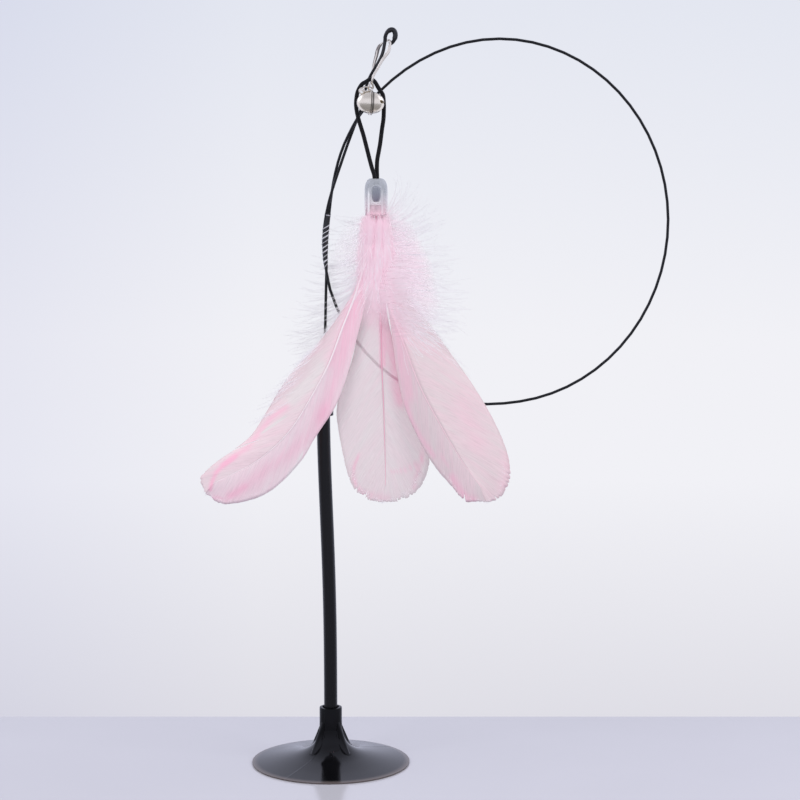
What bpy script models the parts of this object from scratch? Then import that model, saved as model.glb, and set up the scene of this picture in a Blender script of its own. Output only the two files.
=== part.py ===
# A cat teaser: a wand of spring wire in a tube, on a suction cup, with a feather lure on a snap.
# Metres, +Z up. The origin is the centre of the cup's underside. X runs from the pole towards
# the middle of the wire ring, and -Y is the front, where the lure hangs.

import math

import bmesh
import bpy
from mathutils import Matrix, Vector

# Gaps and cuts that all pieces share
TOUCH_GAP = 0.0003
CUT_OVERRUN = 0.002
MERGE_DISTANCE = 0.00001

# Suction cup: a disc, a socket for the tube and four ribs, moulded in one
CUP_RADIUS = 0.040
CUP_EDGE = 0.0010
CUP_STEPS = 56
CROWN_HEIGHT = 0.018
SOCKET_RADIUS = 0.0057
SOCKET_TOP = 0.0285
SOCKET_FLOOR = 0.0070
SOCKET_CHAMFER = 0.0005
MOUTH_WIDENING = 0.0006
MOUTH_DEPTH = 0.0050
SUCTION_OUTER = 0.0330
SUCTION_INNER = 0.0080
SUCTION_DEPTH = 0.0014
RIB_REACH = 0.0150
RIB_SINK = 0.0030
RIB_FOOT = 0.0057
RIB_TOP = 0.0200
RIB_SHOULDER = 0.0005
RIB_THICKNESS = 0.0016
# Radius and height along the disc's top face, from the rim in to the socket
DISC_SHARES = (
    (1.0, 0.0), (0.825, 0.053), (0.65, 0.112), (0.475, 0.182), (0.33, 0.253),
    (0.213, 0.341), (0.125, 0.453), (0.067, 0.588), (0.026, 0.765), (0.0, 1.0),
)
# Radius and height along the hollow under the disc, from outside in
SUCTION_SHARES = ((1.0, 0.0), (0.76, 0.7), (0.40, 1.0), (0.10, 1.0), (0.0, 0.0))

# Pole: a plastic tube that leans a little to the left between two upright ends, and its collar
TUBE_RADIUS = 0.00325
TUBE_TOP = 0.1910
TUBE_LEAN = 0.0031
TUBE_LEAN_POWER = 1.5
TUBE_RUNS = 20
COLLAR_RADIUS = 0.0050
COLLAR_LENGTH = 0.0150
COLLAR_ROOF = 0.0020
COLLAR_CHAMFER = 0.0008
COLLAR_STEPS = 32

# Spring wire: up the tube, along the pair, once round the ring and up the pair again
WIRE_RADIUS = 0.00065
WIRE_FOOT_GAP = 0.0030
STRAND_GAP = 0.00045
RING_HALF_WIDTH = 0.0845
RING_HALF_HEIGHT = 0.0900
CROSSING_SHIFT = 0.0018
CROSSING_RISE = 0.0569
RING_STEPS = 56
PAIR_STEPS = 16
FORK_DEG = 145.0
CROSSING_DEG = 195.0
FULL_TURN_DEG = 360.0
EASING_DEG = 9.0
# Angle on the ring in degrees and distance from its centre, from the fork to the crossing
RING_SHARES = (
    (145.0, 0.9965), (135.0, 0.992), (120.0, 0.991), (105.0, 0.996), (90.0, 1.0),
    (0.0, 1.0), (-90.0, 1.0), (-107.0, 1.027), (-124.0, 1.053), (-148.0, 1.0546),
    (-157.0, 1.053), (-165.0, 1.037),
)
# The same along the middle of the pair, from the crossing up to the fork
PAIR_SHARES = (
    (195.0, 1.037), (190.0, 1.024), (185.0, 1.0095), (178.0, 0.993), (170.0, 0.980),
    (162.0, 0.975), (155.0, 0.979), (150.0, 0.987), (145.0, 0.9965),
)
# Shift and rise of the lower strand between the collar and the crossing
LOWER_STRAND_SHARES = ((0.33, 0.23), (0.556, 0.441), (0.72, 0.668), (0.83, 0.80))
# Parts of the ring over which a strand comes back to the middle plane
STRAND_EASE_DEG = (40.0, 17.0)

# Stem and eye at the wire's upper end
STEM_WIDTH = 0.0133
STEM_RISE = 0.0364
STEM_EASE_SHARE = 0.39
STEM_SHARES = (
    (0.10, 0.085), (0.19, 0.20), (0.27, 0.35), (0.40, 0.51), (0.60, 0.645),
    (0.78, 0.745), (0.90, 0.84), (0.97, 0.93), (1.0, 1.0),
)
EYE_WIRE_RADIUS = 0.00088
EYE_LONG = 0.0037
EYE_SHORT = 0.0024
EYE_SHIFT = 0.0028
EYE_RISE = 0.0031
EYE_TILT_DEG = 20.0
EYE_START_DEG = 52.0
EYE_END_DEG = 344.0
EYE_STEPS = 14

# Binding and cuff round the two strands, placed along the pair
BINDING_TURNS = 9
BINDING_POINTS = 24
BINDING_RADIUS = 0.00022
BINDING_SHARES = (0.03, 0.30)
CUFF_WALL = 0.0003
CUFF_WIDTH = 0.0012
CUFF_SHARE = 0.40
CUFF_SIDES = 24

# Snap: a bent wire that passes through the eye and ends in a small ring, and its sprung gate
SNAP_RADIUS = 0.0005
SNAP_LENGTH = 0.0228
EYELET_RADIUS = 0.0016
EYELET_START_DEG = 52.0
EYELET_STEPS = 12
HINGE_SHIFT = 0.0007
HINGE_DROP = 0.0017
SNAP_EYELET_SHARES = (-0.390, -0.307, -1.0)
EYELET_TOP_SHARES = (0.357, 0.0, 0.934)
EYELET_SIDE_SHARES = (-0.65, -0.72, 0.25)
SNAP_STEPS = 3
# Along the snap's wire from its latch end, through the eye, down to the small ring
SNAP_SHARES = (
    (-0.193, 0.092, -0.101), (-0.132, 0.092, -0.057), (-0.088, 0.092, -0.035),
    (-0.031, 0.070, -0.004), (0.0, 0.0, 0.004), (0.022, -0.070, -0.022),
    (0.031, -0.096, -0.092), (0.009, -0.114, -0.171), (-0.009, -0.127, -0.241),
    (-0.075, -0.158, -0.333), (-0.158, -0.202, -0.456), (-0.246, -0.263, -0.614),
    (-0.311, -0.333, -0.724), (-0.342, -0.364, -0.803), (-0.360, -0.360, -0.873),
)
# Along the gate from its free end down to the small ring
GATE_SHARES = (
    (-0.232, 0.092, -0.154), (-0.254, 0.088, -0.219), (-0.276, 0.079, -0.346),
    (-0.298, 0.070, -0.417), (-0.333, 0.066, -0.557), (-0.355, 0.066, -0.675),
    (-0.364, 0.070, -0.754), (-0.360, 0.053, -0.811), (-0.360, 0.0, -0.846),
    (-0.364, -0.066, -0.862), (-0.373, -0.132, -0.885), (-0.382, -0.180, -0.910),
    (-0.395, -0.228, -0.927), (-0.408, -0.263, -0.930),
)

# Elastic cord: a loop that hangs in the fork of the snap
CORD_RADIUS = 0.00105
CORD_SEAT_RISE = 0.0038
CORD_SEAT_BACK = 0.0010
CORD_HALF_WIDTH = 0.0068
CORD_LEAN = 0.0036
CORD_DROP = 0.0480
CORD_STRAND_GAP = 0.0004
CORD_TURN_DEG = 26.0
CORD_LEFT_SHARES = (
    (-0.324, 0.0, 0.025), (-0.603, 0.10, 0.048), (-0.794, 0.20, 0.084), (-0.926, 0.26, 0.123),
    (-1.0, 0.31, 0.163), (-1.059, 0.39, 0.245), (-1.0, 0.36, 0.326), (-0.868, 0.28, 0.408),
    (-0.691, 0.14, 0.490), (-0.515, 0.0, 0.571), (-0.368, -0.17, 0.651), (-0.221, -0.36, 0.732),
    (-0.074, -0.56, 0.814), (0.088, -0.80, 0.897), (0.26, -0.95, 0.975),
)
CORD_RIGHT_SHARES = (
    (0.294, 0.28, 0.026), (0.544, 0.30, 0.084), (0.721, 0.32, 0.123), (0.882, 0.36, 0.163),
    (0.941, 0.39, 0.245), (0.941, 0.36, 0.326), (0.912, 0.28, 0.408), (0.824, 0.19, 0.490),
    (0.75, 0.11, 0.571), (0.676, 0.0, 0.651), (0.574, -0.08, 0.732), (0.47, -0.19, 0.814),
    (0.44, -0.31, 0.897), (0.45, -0.37, 0.975),
)

# Bell: two pressed halves, a wire loop, a split ring to hang it by and a pea
BELL_RADIUS = 0.0059
BELL_WALL = 0.0005
BELL_FLATTEN_SHARE = 0.92
BELL_RIM = 0.0006
BELL_RIM_THICKNESS = 0.0005
BELL_STEPS = 28
BELL_ARC_STEPS = 7
BELL_SLOT = 0.0011
BELL_SLOT_REACH = 0.0036
BELL_SLOT_END_RADIUS = 0.0010
BELL_DROP = 0.0076
BELL_FORWARD = 0.0024
BELL_AXIS_SHARES = (-0.58, -0.25, 0.77)
BELL_LOOP_RADIUS = 0.0013
BELL_LOOP_WIRE = 0.00035
JUMP_RING_RADIUS = 0.0029
JUMP_RING_WIRE = 0.00035
RING_SIDES = 20
PEA_RADIUS = 0.0016
PEA_STEPS = 16

# Cap of the lure, with the cord's knot and the glue inside it
CAP_RADIUS = 0.0057
CAP_WALL = 0.0008
CAP_LENGTH = 0.0190
CAP_DOME = 0.0055
CAP_SHIFT = 0.0026
CAP_FORWARD = 0.0025
CAP_HOLE_RADIUS = 0.0026
CAP_STEPS = 32
CAP_ARC_STEPS = 5
KNOT_DEPTH = 0.0034
KNOT_RADIUS = 0.0025
KNOT_LENGTH = 0.0085
KNOT_ROUND_SHARES = ((0.45, 1.0), (0.8, 0.93), (1.0, 0.75), (1.0, 0.25), (0.8, 0.07), (0.45, 0.0))
KNOT_STEPS = 20
GLUE_RECESS = 0.0005
QUILL_DEPTH = 0.0050
QUILL_RADIUS = 0.0009
QUILL_SPREAD = 0.0016
QUILL_FORWARD = 0.0010
QUILL_BACKWARD = 0.0018

# Feathers: reach from quill end to tip, half widths of the vane, and the down at the quill
SHAFT_TIP_RADIUS = 0.00025
VANE_HALF_THICKNESS = 0.00022
VANE_RUNS = 17
VANE_CAMBER = 0.0020
DOWN_START = 0.0080
DOWN_PITCH = 0.0045
DOWN_SEGMENTS = 3
DOWN_SCALE_SHARES = (0.40, 0.80, 0.42)
DOWN_BEND_SHARE = 0.35
DOWN_SPREAD_SHARE = 0.05
DOWN_LENGTH_SHARES = (1.0, 0.78, 0.9, 0.7)
DOWN_TOP_DEG = 32.0
DOWN_FOOT_DEG = -52.0
LEFT_REACH = (-0.0848, -0.0105, -0.1422)
LEFT_HALF_WIDTHS = (0.0125, 0.0125)
LEFT_DOWN_RUNS = 11
LEFT_DOWN_LENGTHS = (0.036, 0)
LEFT_PATH_SHARES = (
    (0.0, 0.0, 0.0), (0.0, 0.0, 0.02), (0.0, 0.0, 0.037), (0.001, 0.01, 0.055),
    (0.033, 0.08, 0.135), (0.080, 0.20, 0.233),
    (0.151, 0.38, 0.388), (0.269, 0.60, 0.599), (0.387, 0.72, 0.719), (0.517, 0.80, 0.831),
    (0.623, 0.85, 0.902), (0.776, 0.92, 0.951), (0.929, 0.98, 0.986), (1.0, 1.0, 1.0),
)
LEFT_VANE_SHARES = (
    (0.0, 0.0, 0.0), (0.30, 0.0, 0.0), (0.34, 0.2, 0.4), (0.40, 0.5, 0.7), (0.50, 0.85, 0.9),
    (0.60, 1.0, 0.95), (0.80, 1.0, 0.95), (0.91, 0.97, 0.9), (0.97, 0.75, 0.7), (1.0, 0.35, 0.3),
)
MIDDLE_REACH = (0.0046, -0.0015, -0.1462)
MIDDLE_HALF_WIDTHS = (0.0225, 0.0210)
MIDDLE_DOWN_RUNS = 7
MIDDLE_DOWN_LENGTHS = (0.016, 0.020)
MIDDLE_PATH_SHARES = (
    (0.0, 0.0, 0.0), (0.0, 0.0, 0.02), (0.0, 0.0, 0.037), (0.02, 0.01, 0.055),
    (0.35, 0.1, 0.18), (0.55, 0.25, 0.353), (0.60, 0.4, 0.483), (0.80, 0.5, 0.566),
    (1.0, 0.7, 0.745), (1.0, 0.85, 0.876), (1.0, 1.0, 1.0),
)
MIDDLE_VANE_SHARES = (
    (0.0, 0.0, 0.0), (0.26, 0.0, 0.0), (0.32, 0.25, 0.25), (0.45, 0.6, 0.6), (0.55, 0.8, 0.75),
    (0.62, 0.9, 0.85), (0.69, 1.0, 0.93), (0.77, 1.0, 1.0), (0.855, 0.96, 1.0), (0.917, 0.84, 0.86),
    (0.97, 0.66, 0.62), (1.0, 0.3, 0.24),
)
RIGHT_REACH = (0.0530, -0.0125, -0.1432)
RIGHT_HALF_WIDTHS = (0.0110, 0.0240)
RIGHT_DOWN_RUNS = 10
RIGHT_DOWN_LENGTHS = (0, 0.038)
RIGHT_PATH_SHARES = (
    (0.0, 0.0, 0.0), (0.0, 0.0, 0.02), (0.0, 0.0, 0.037), (0.001, 0.01, 0.055),
    (0.038, 0.1, 0.183), (0.113, 0.25, 0.358), (0.226, 0.4, 0.497), (0.34, 0.5, 0.602),
    (0.453, 0.6, 0.686), (0.566, 0.7, 0.77), (0.698, 0.78, 0.832), (0.83, 0.87, 0.902),
    (0.943, 0.95, 0.951), (1.0, 1.0, 1.0),
)
RIGHT_VANE_SHARES = (
    (0.0, 0.0, 0.0), (0.32, 0.0, 0.0), (0.36, 0.35, 0.35), (0.45, 0.85, 0.72), (0.55, 1.0, 0.83),
    (0.64, 1.0, 0.88), (0.80, 1.0, 1.0), (0.91, 0.97, 0.9), (0.97, 0.78, 0.7), (1.0, 0.4, 0.35),
)

FRONT = Vector((0, -1, 0))
UP = Vector((0, 0, 1))

# Heights that follow from the sizes above
TUBE_FOOT = SOCKET_FLOOR + TOUCH_GAP
COLLAR_TOP = TUBE_TOP + TOUCH_GAP + COLLAR_ROOF
RUN_SPACING = 2 * WIRE_RADIUS + STRAND_GAP


def clear_scene():
    for item in list(bpy.data.objects):
        bpy.data.objects.remove(item, do_unlink=True)


def new_collection(name, hidden):
    group = bpy.data.collections.new(name)
    bpy.context.scene.collection.children.link(group)
    group.hide_render = hidden
    return group


def new_material(name, colour, metallic, roughness):
    material = bpy.data.materials.new(name)
    material.use_nodes = True
    shader = material.node_tree.nodes["Principled BSDF"]
    shader.inputs["Base Color"].default_value = (*colour, 1.0)
    shader.inputs["Metallic"].default_value = metallic
    shader.inputs["Roughness"].default_value = roughness
    return material


def add_object(name, data, material, place):
    item = bpy.data.objects.new(name, data)
    if material is not None:
        data.materials.append(material)
    place.objects.link(item)
    return item


def add_cutter(name, data, place):
    item = add_object(name, data, None, place)
    item.hide_render = True
    item.display_type = "WIRE"
    return item


def add_pivot(name, position, place):
    pivot = bpy.data.objects.new(name, None)
    pivot.location = position
    place.objects.link(pivot)
    return pivot


def hang(item, pivot, turn=None):
    """Parents an item that stands at its world place to an unturned pivot."""
    spot = Vector(item.location)
    item.parent = pivot
    item.location = spot - Vector(pivot.location)
    if turn is not None:
        item.rotation_euler = turn.to_euler()


def turned(name, profile, closed, steps, material, place):
    """A body of revolution round Z: the profile runs down its outer side."""
    data = bpy.data.meshes.new(name)
    verts = [(radius, 0, height) for radius, height in profile]
    edges = [(k, k + 1) for k in range(len(profile) - 1)]
    if closed:
        edges.append((len(profile) - 1, 0))
    data.from_pydata(verts, edges, [])
    item = add_object(name, data, material, place)
    screw = item.modifiers.new("Screw", "SCREW")
    screw.steps = steps
    screw.render_steps = steps
    screw.use_merge_vertices = True
    screw.merge_threshold = MERGE_DISTANCE
    return item


def wire_curve(name, points, radius, sides, swells=None, cyclic=False):
    data = bpy.data.curves.new(name, "CURVE")
    data.dimensions = "3D"
    data.bevel_depth = radius
    data.bevel_resolution = sides
    data.use_fill_caps = not cyclic
    spline = data.splines.new("POLY")
    spline.points.add(len(points) - 1)
    for k, point in enumerate(points):
        spline.points[k].co = (*point, 1.0)
        if swells is not None:
            spline.points[k].radius = swells[k]
    spline.use_cyclic_u = cyclic
    return data


def to_mesh(item):
    """Turns a curve or a modified mesh into a plain mesh at its world place."""
    bpy.context.view_layer.update()
    shown = item.evaluated_get(bpy.context.evaluated_depsgraph_get())
    data = bpy.data.meshes.new_from_object(shown)
    shape = bmesh.new()
    shape.from_mesh(data)
    bmesh.ops.remove_doubles(shape, verts=shape.verts, dist=MERGE_DISTANCE)
    bmesh.ops.recalc_face_normals(shape, faces=shape.faces)
    shape.to_mesh(data)
    shape.free()
    solid = bpy.data.objects.new(item.name + "_solid", data)
    solid.matrix_world = item.matrix_world.copy()
    for group in item.users_collection:
        group.objects.link(solid)
    solid.hide_render = item.hide_render
    solid.display_type = item.display_type
    bpy.data.objects.remove(item, do_unlink=True)
    return solid


def combine(target, other, operation):
    step = target.modifiers.new(operation.title(), "BOOLEAN")
    step.operation = operation
    step.solver = "EXACT"
    step.object = other


def flat_outline(name, outlines, depth):
    """A plate from closed outlines in its XY plane, as thick as depth."""
    data = bpy.data.curves.new(name, "CURVE")
    data.dimensions = "2D"
    data.fill_mode = "BOTH"
    data.extrude = depth / 2
    for outline in outlines:
        spline = data.splines.new("POLY")
        spline.points.add(len(outline) - 1)
        for k, (x, y) in enumerate(outline):
            spline.points[k].co = (x, y, 0, 1)
        spline.use_cyclic_u = True
    return data


def smooth_path(points, steps):
    """Catmull-Rom points through the given ones."""
    result = []
    for k in range(len(points) - 1):
        p0 = points[max(k - 1, 0)]
        p1 = points[k]
        p2 = points[k + 1]
        p3 = points[min(k + 2, len(points) - 1)]
        for step in range(steps):
            t = step / steps
            a = 2 * p1 + (p2 - p0) * t
            b = (2 * p0 - 5 * p1 + 4 * p2 - p3) * t ** 2
            c = (3 * p1 - p0 - 3 * p2 + p3) * t ** 3
            result.append((a + b + c) / 2)
    result.append(points[-1].copy())
    return result


def table_value(table, position, column=1):
    """Value between the rows of a table whose first column rises or falls."""
    rising = table[-1][0] > table[0][0]
    for low, high in zip(table, table[1:]):
        inside = position <= high[0] if rising else position >= high[0]
        if inside:
            t = (position - low[0]) / (high[0] - low[0])
            t = min(max(t, 0.0), 1.0)
            return low[column] + (high[column] - low[column]) * t
    return table[-1][column]


def eased_value(table, position, reach):
    """Mean of a table's value round a position, so that no corner shows."""
    offsets = [-1.0, -0.6, -0.2, 0.2, 0.6, 1.0]
    near = min(abs(position - table[0][0]), abs(position - table[-1][0]), reach)
    values = [table_value(table, position + offset * near) for offset in offsets]
    return sum(values) / len(values)


def smooth_step(t):
    t = min(max(t, 0.0), 1.0)
    return t * t * (3 - 2 * t)


def turn_to(axis, side):
    """Rotation that takes Z to the axis and X as near as can be to the side."""
    z = axis.normalized()
    y = z.cross(side).normalized()
    x = y.cross(z)
    return Matrix((x, y, z)).transposed()


def ring_points(centre, axis, side, radius, count):
    turn = turn_to(axis, side)
    points = []
    for k in range(count):
        angle = 2 * math.pi * k / count
        flat = Vector((math.cos(angle), math.sin(angle), 0)) * radius
        points.append(centre + turn @ flat)
    return points


def least_self_gap(points, radius, skip):
    """Smallest gap between a tube's points that aren't neighbours along it."""
    least = None
    for i, first in enumerate(points):
        for second in points[i + skip:]:
            gap = (first - second).length - 2 * radius
            if least is None or gap < least:
                least = gap
    return least


def pole_centre(height):
    low = SOCKET_TOP
    high = COLLAR_TOP - COLLAR_LENGTH
    t = min(max((height - low) / (high - low), 0.0), 1.0)
    return Vector((-TUBE_LEAN * smooth_step(t ** TUBE_LEAN_POWER), 0, height))


def ring_centre():
    angle = math.radians(CROSSING_DEG)
    share = PAIR_SHARES[0][1]
    x = CROSSING_SHIFT - TUBE_LEAN - RING_HALF_WIDTH * share * math.cos(angle)
    z = COLLAR_TOP + CROSSING_RISE - RING_HALF_HEIGHT * share * math.sin(angle)
    return Vector((x, 0, z))


def ring_point(table, degrees):
    angle = math.radians(degrees)
    share = eased_value(table, degrees, EASING_DEG)
    x = RING_HALF_WIDTH * share * math.cos(angle)
    z = RING_HALF_HEIGHT * share * math.sin(angle)
    return ring_centre() + Vector((x, 0, z))


def pair_frame(t):
    """Middle, direction up the pair, and side of the pair at a share of its length."""
    degrees = CROSSING_DEG + (FORK_DEG - CROSSING_DEG) * t
    middle = ring_point(PAIR_SHARES, degrees)
    ahead = ring_point(PAIR_SHARES, degrees - 1)
    behind = ring_point(PAIR_SHARES, degrees + 1)
    along = (ahead - behind).normalized()
    return middle, along, along.cross(FRONT).normalized() * -1


def pair_offset(t):
    """Direction from the middle of the pair to the upper strand, which turns round once."""
    middle, along, side = pair_frame(t)
    phi = math.pi / 2 + 2 * math.pi * t
    return side * math.cos(phi) + FRONT * math.sin(phi)


def strand_point(t, which):
    middle, along, side = pair_frame(t)
    return middle + pair_offset(t) * (which * RUN_SPACING / 2)


def snap_hinge():
    return eye_centre() + Vector((-HINGE_SHIFT, 0, -HINGE_DROP))


def stem_foot():
    return ring_point(PAIR_SHARES, FORK_DEG)


def eye_centre():
    return stem_foot() + Vector((STEM_WIDTH + EYE_SHIFT, 0, STEM_RISE + EYE_RISE))


def wire_path():
    """Points and swells of the whole spring wire, from inside the tube to the eye."""
    points = []
    foot = TUBE_FOOT + WIRE_FOOT_GAP
    for k in range(TUBE_RUNS):
        points.append(pole_centre(foot + (COLLAR_TOP - foot) * k / TUBE_RUNS))
    low = pole_centre(COLLAR_TOP)
    high = strand_point(0, -1)
    rise = high - low
    strand = [low]
    for shift_share, rise_share in LOWER_STRAND_SHARES:
        side = rise.y * smooth_step(rise_share)
        strand.append(low + Vector((rise.x * shift_share, side, rise.z * rise_share)))
    strand.append(high)
    points.extend(smooth_path(strand, 2)[:-1])
    for k in range(PAIR_STEPS):
        points.append(strand_point(k / PAIR_STEPS, -1))
    last = CROSSING_DEG - FULL_TURN_DEG
    for k in range(RING_STEPS + 1):
        degrees = FORK_DEG + (last - FORK_DEG) * k / RING_STEPS
        point = ring_point(RING_SHARES, degrees)
        leave = 1 - smooth_step((FORK_DEG - degrees) / STRAND_EASE_DEG[0])
        arrive = 1 - smooth_step((degrees - last) / STRAND_EASE_DEG[1])
        point.y = (leave - arrive) * RUN_SPACING / 2
        if k < RING_STEPS:
            points.append(point)
    for k in range(PAIR_STEPS + 1):
        points.append(strand_point(k / PAIR_STEPS, 1))
    foot = stem_foot()
    stem = []
    for shift_share, rise_share in STEM_SHARES:
        front = -RUN_SPACING / 2 * (1 - smooth_step(rise_share / STEM_EASE_SHARE))
        stem.append(foot + Vector((STEM_WIDTH * shift_share, front, STEM_RISE * rise_share)))
    points.extend(smooth_path(stem, 2))
    swells = [1.0] * len(points)
    swells[-1] = (1 + EYE_WIRE_RADIUS / WIRE_RADIUS) / 2
    tilt = math.radians(EYE_TILT_DEG)
    long_way = Vector((math.sin(tilt), 0, math.cos(tilt)))
    short_way = Vector((math.cos(tilt), 0, -math.sin(tilt)))
    for k in range(EYE_STEPS + 1):
        share = k / EYE_STEPS
        angle = math.radians(EYE_START_DEG + (EYE_END_DEG - EYE_START_DEG) * share)
        offset = long_way * (EYE_LONG * math.cos(angle)) + short_way * (EYE_SHORT * math.sin(angle))
        points.append(eye_centre() - offset)
        swells.append(EYE_WIRE_RADIUS / WIRE_RADIUS)
    return points, swells


def stadium(t, angle, reach):
    """Point on a band round both strands at a share of the pair's length."""
    middle, along, side = pair_frame(t)
    far = pair_offset(t)
    across = along.cross(far).normalized()
    shift = min(max(2 * math.cos(angle), -1.0), 1.0) * RUN_SPACING / 2
    return middle + far * (shift + reach * math.cos(angle)) + across * (reach * math.sin(angle))


def shape_suction_cup(look, place, tools):
    width = CUP_RADIUS - SOCKET_RADIUS
    height = CROWN_HEIGHT - CUP_EDGE
    profile = [(0, SOCKET_TOP), (SOCKET_RADIUS - SOCKET_CHAMFER, SOCKET_TOP)]
    profile.append((SOCKET_RADIUS, SOCKET_TOP - SOCKET_CHAMFER))
    for out, up in reversed(DISC_SHARES):
        profile.append((SOCKET_RADIUS + width * out, CUP_EDGE + height * up))
    profile.append((CUP_RADIUS, 0))
    for out, up in SUCTION_SHARES:
        radius = SUCTION_INNER + (SUCTION_OUTER - SUCTION_INNER) * out
        profile.append((radius, SUCTION_DEPTH * up))
    profile.append((0, 0))
    cup = turned("suction_cup", profile, False, CUP_STEPS, look, place)
    top = SOCKET_RADIUS + RIB_SHOULDER
    outline = (
        (-RIB_REACH, RIB_SINK), (RIB_REACH, RIB_SINK), (RIB_REACH, RIB_FOOT), (top, RIB_TOP),
        (-top, RIB_TOP), (-RIB_REACH, RIB_FOOT),
    )
    for k in range(2):
        plate = add_cutter("rib_plate", flat_outline("rib_plate", [outline], RIB_THICKNESS), tools)
        plate.rotation_euler = (math.pi / 2, 0, math.pi / 4 + k * math.pi / 2)
        combine(cup, to_mesh(plate), "UNION")
    bore = TUBE_RADIUS + TOUCH_GAP
    mouth = bore + MOUTH_WIDENING
    over = SOCKET_TOP + CUT_OVERRUN
    step = SOCKET_TOP - MOUTH_DEPTH
    cut = (
        (0, over), (mouth, over), (mouth, step), (bore, step - MOUTH_WIDENING),
        (bore, SOCKET_FLOOR), (0, SOCKET_FLOOR),
    )
    cutter = turned("socket_bore", cut, False, CUP_STEPS, None, tools)
    cutter.hide_render = True
    cutter.display_type = "WIRE"
    combine(cup, to_mesh(cutter), "DIFFERENCE")
    return cup


def shape_pole_tube(look, place, tools):
    heights = [TUBE_FOOT + (TUBE_TOP - TUBE_FOOT) * k / TUBE_RUNS for k in range(TUBE_RUNS + 1)]
    points = [pole_centre(height) for height in heights]
    core = add_object("pole_tube", wire_curve("pole_tube", points, TUBE_RADIUS, 4), look, place)
    tube = to_mesh(core)
    tube.name = "pole_tube"
    first = points[0] - UP * CUT_OVERRUN
    last = points[-1] + UP * CUT_OVERRUN
    bore = wire_curve("tube_bore", [first, *points, last], WIRE_RADIUS + TOUCH_GAP, 2)
    combine(tube, to_mesh(add_cutter("tube_bore", bore, tools)), "DIFFERENCE")
    return tube


def shape_collar(look, place):
    hole = WIRE_RADIUS + TOUCH_GAP
    bore = TUBE_RADIUS + TOUCH_GAP
    profile = (
        (hole, 0), (COLLAR_RADIUS - COLLAR_CHAMFER, 0), (COLLAR_RADIUS, -COLLAR_CHAMFER),
        (COLLAR_RADIUS, -COLLAR_LENGTH), (bore, -COLLAR_LENGTH), (bore, -COLLAR_ROOF),
        (hole, -COLLAR_ROOF),
    )
    collar = turned("tube_end_cap", profile, True, COLLAR_STEPS, look, place)
    collar.location = pole_centre(COLLAR_TOP)
    return collar


def shape_binding(look, place):
    start, end = BINDING_SHARES
    reach = WIRE_RADIUS + TOUCH_GAP + BINDING_RADIUS
    count = BINDING_TURNS * BINDING_POINTS
    points = []
    for k in range(count + 1):
        t = start + (end - start) * k / count
        points.append(stadium(t, 2 * math.pi * k / BINDING_POINTS, reach))
    gap = least_self_gap(points, BINDING_RADIUS, BINDING_POINTS * 3 // 4)
    print("binding_wrap least gap to itself in mm", round(gap * 1000, 3))
    return add_object("binding_wrap", wire_curve("binding_wrap", points, BINDING_RADIUS, 1), look, place)


def shape_cuff(look, place):
    reach = WIRE_RADIUS + TOUCH_GAP
    outlines = []
    for radius in (reach + CUFF_WALL, reach):
        outline = []
        for k in range(CUFF_SIDES):
            angle = 2 * math.pi * k / CUFF_SIDES
            shift = min(max(2 * math.cos(angle), -1.0), 1.0) * RUN_SPACING / 2
            outline.append((shift + radius * math.cos(angle), radius * math.sin(angle)))
        outlines.append(outline)
    cuff = add_object("tape_cuff", flat_outline("tape_cuff", outlines, CUFF_WIDTH), look, place)
    middle, along, side = pair_frame(CUFF_SHARE)
    cuff.location = middle
    cuff.rotation_euler = turn_to(along, pair_offset(CUFF_SHARE)).to_euler()
    return cuff


def eyelet_centre():
    return snap_hinge() + Vector(SNAP_EYELET_SHARES) * SNAP_LENGTH


def eyelet_frame():
    """Ways across and along the small ring of the snap: its top, its side and its axis."""
    top = Vector(EYELET_TOP_SHARES)
    side = Vector(EYELET_SIDE_SHARES)
    side = (side - top * side.dot(top)).normalized()
    return top, side, top.cross(side) * -1


def snap_points(shares):
    return [snap_hinge() + Vector(share) * SNAP_LENGTH for share in shares]


def shape_snap(look, place, pivot):
    leg = smooth_path(snap_points(SNAP_SHARES), SNAP_STEPS)
    top, side, axis = eyelet_frame()
    for k in range(EYELET_STEPS + 1):
        degrees = FULL_TURN_DEG + (EYELET_START_DEG - FULL_TURN_DEG) * k / EYELET_STEPS
        angle = math.radians(degrees)
        offset = top * math.cos(angle) + side * math.sin(angle)
        leg.append(eyelet_centre() + offset * EYELET_RADIUS)
    hinge = snap_hinge()
    points = [point - hinge for point in leg]
    snap = add_object("snap_wire", wire_curve("snap_wire", points, SNAP_RADIUS, 2), look, place)
    snap.location = hinge
    hang(snap, pivot)
    return snap


def gate_hinge():
    return snap_points(GATE_SHARES)[-1]


def shape_gate(look, place, pivot):
    hinge = gate_hinge()
    points = [point - hinge for point in smooth_path(snap_points(GATE_SHARES), SNAP_STEPS)]
    gate = add_object("snap_gate", wire_curve("snap_gate", points, SNAP_RADIUS, 2), look, place)
    gate.location = hinge
    hang(gate, pivot)
    return gate


def cord_seat():
    return eyelet_centre() + Vector((0, CORD_SEAT_BACK, CORD_SEAT_RISE))


def cap_top():
    seat = cord_seat()
    return seat + Vector((CAP_SHIFT, -CAP_FORWARD, -CORD_DROP))


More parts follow.
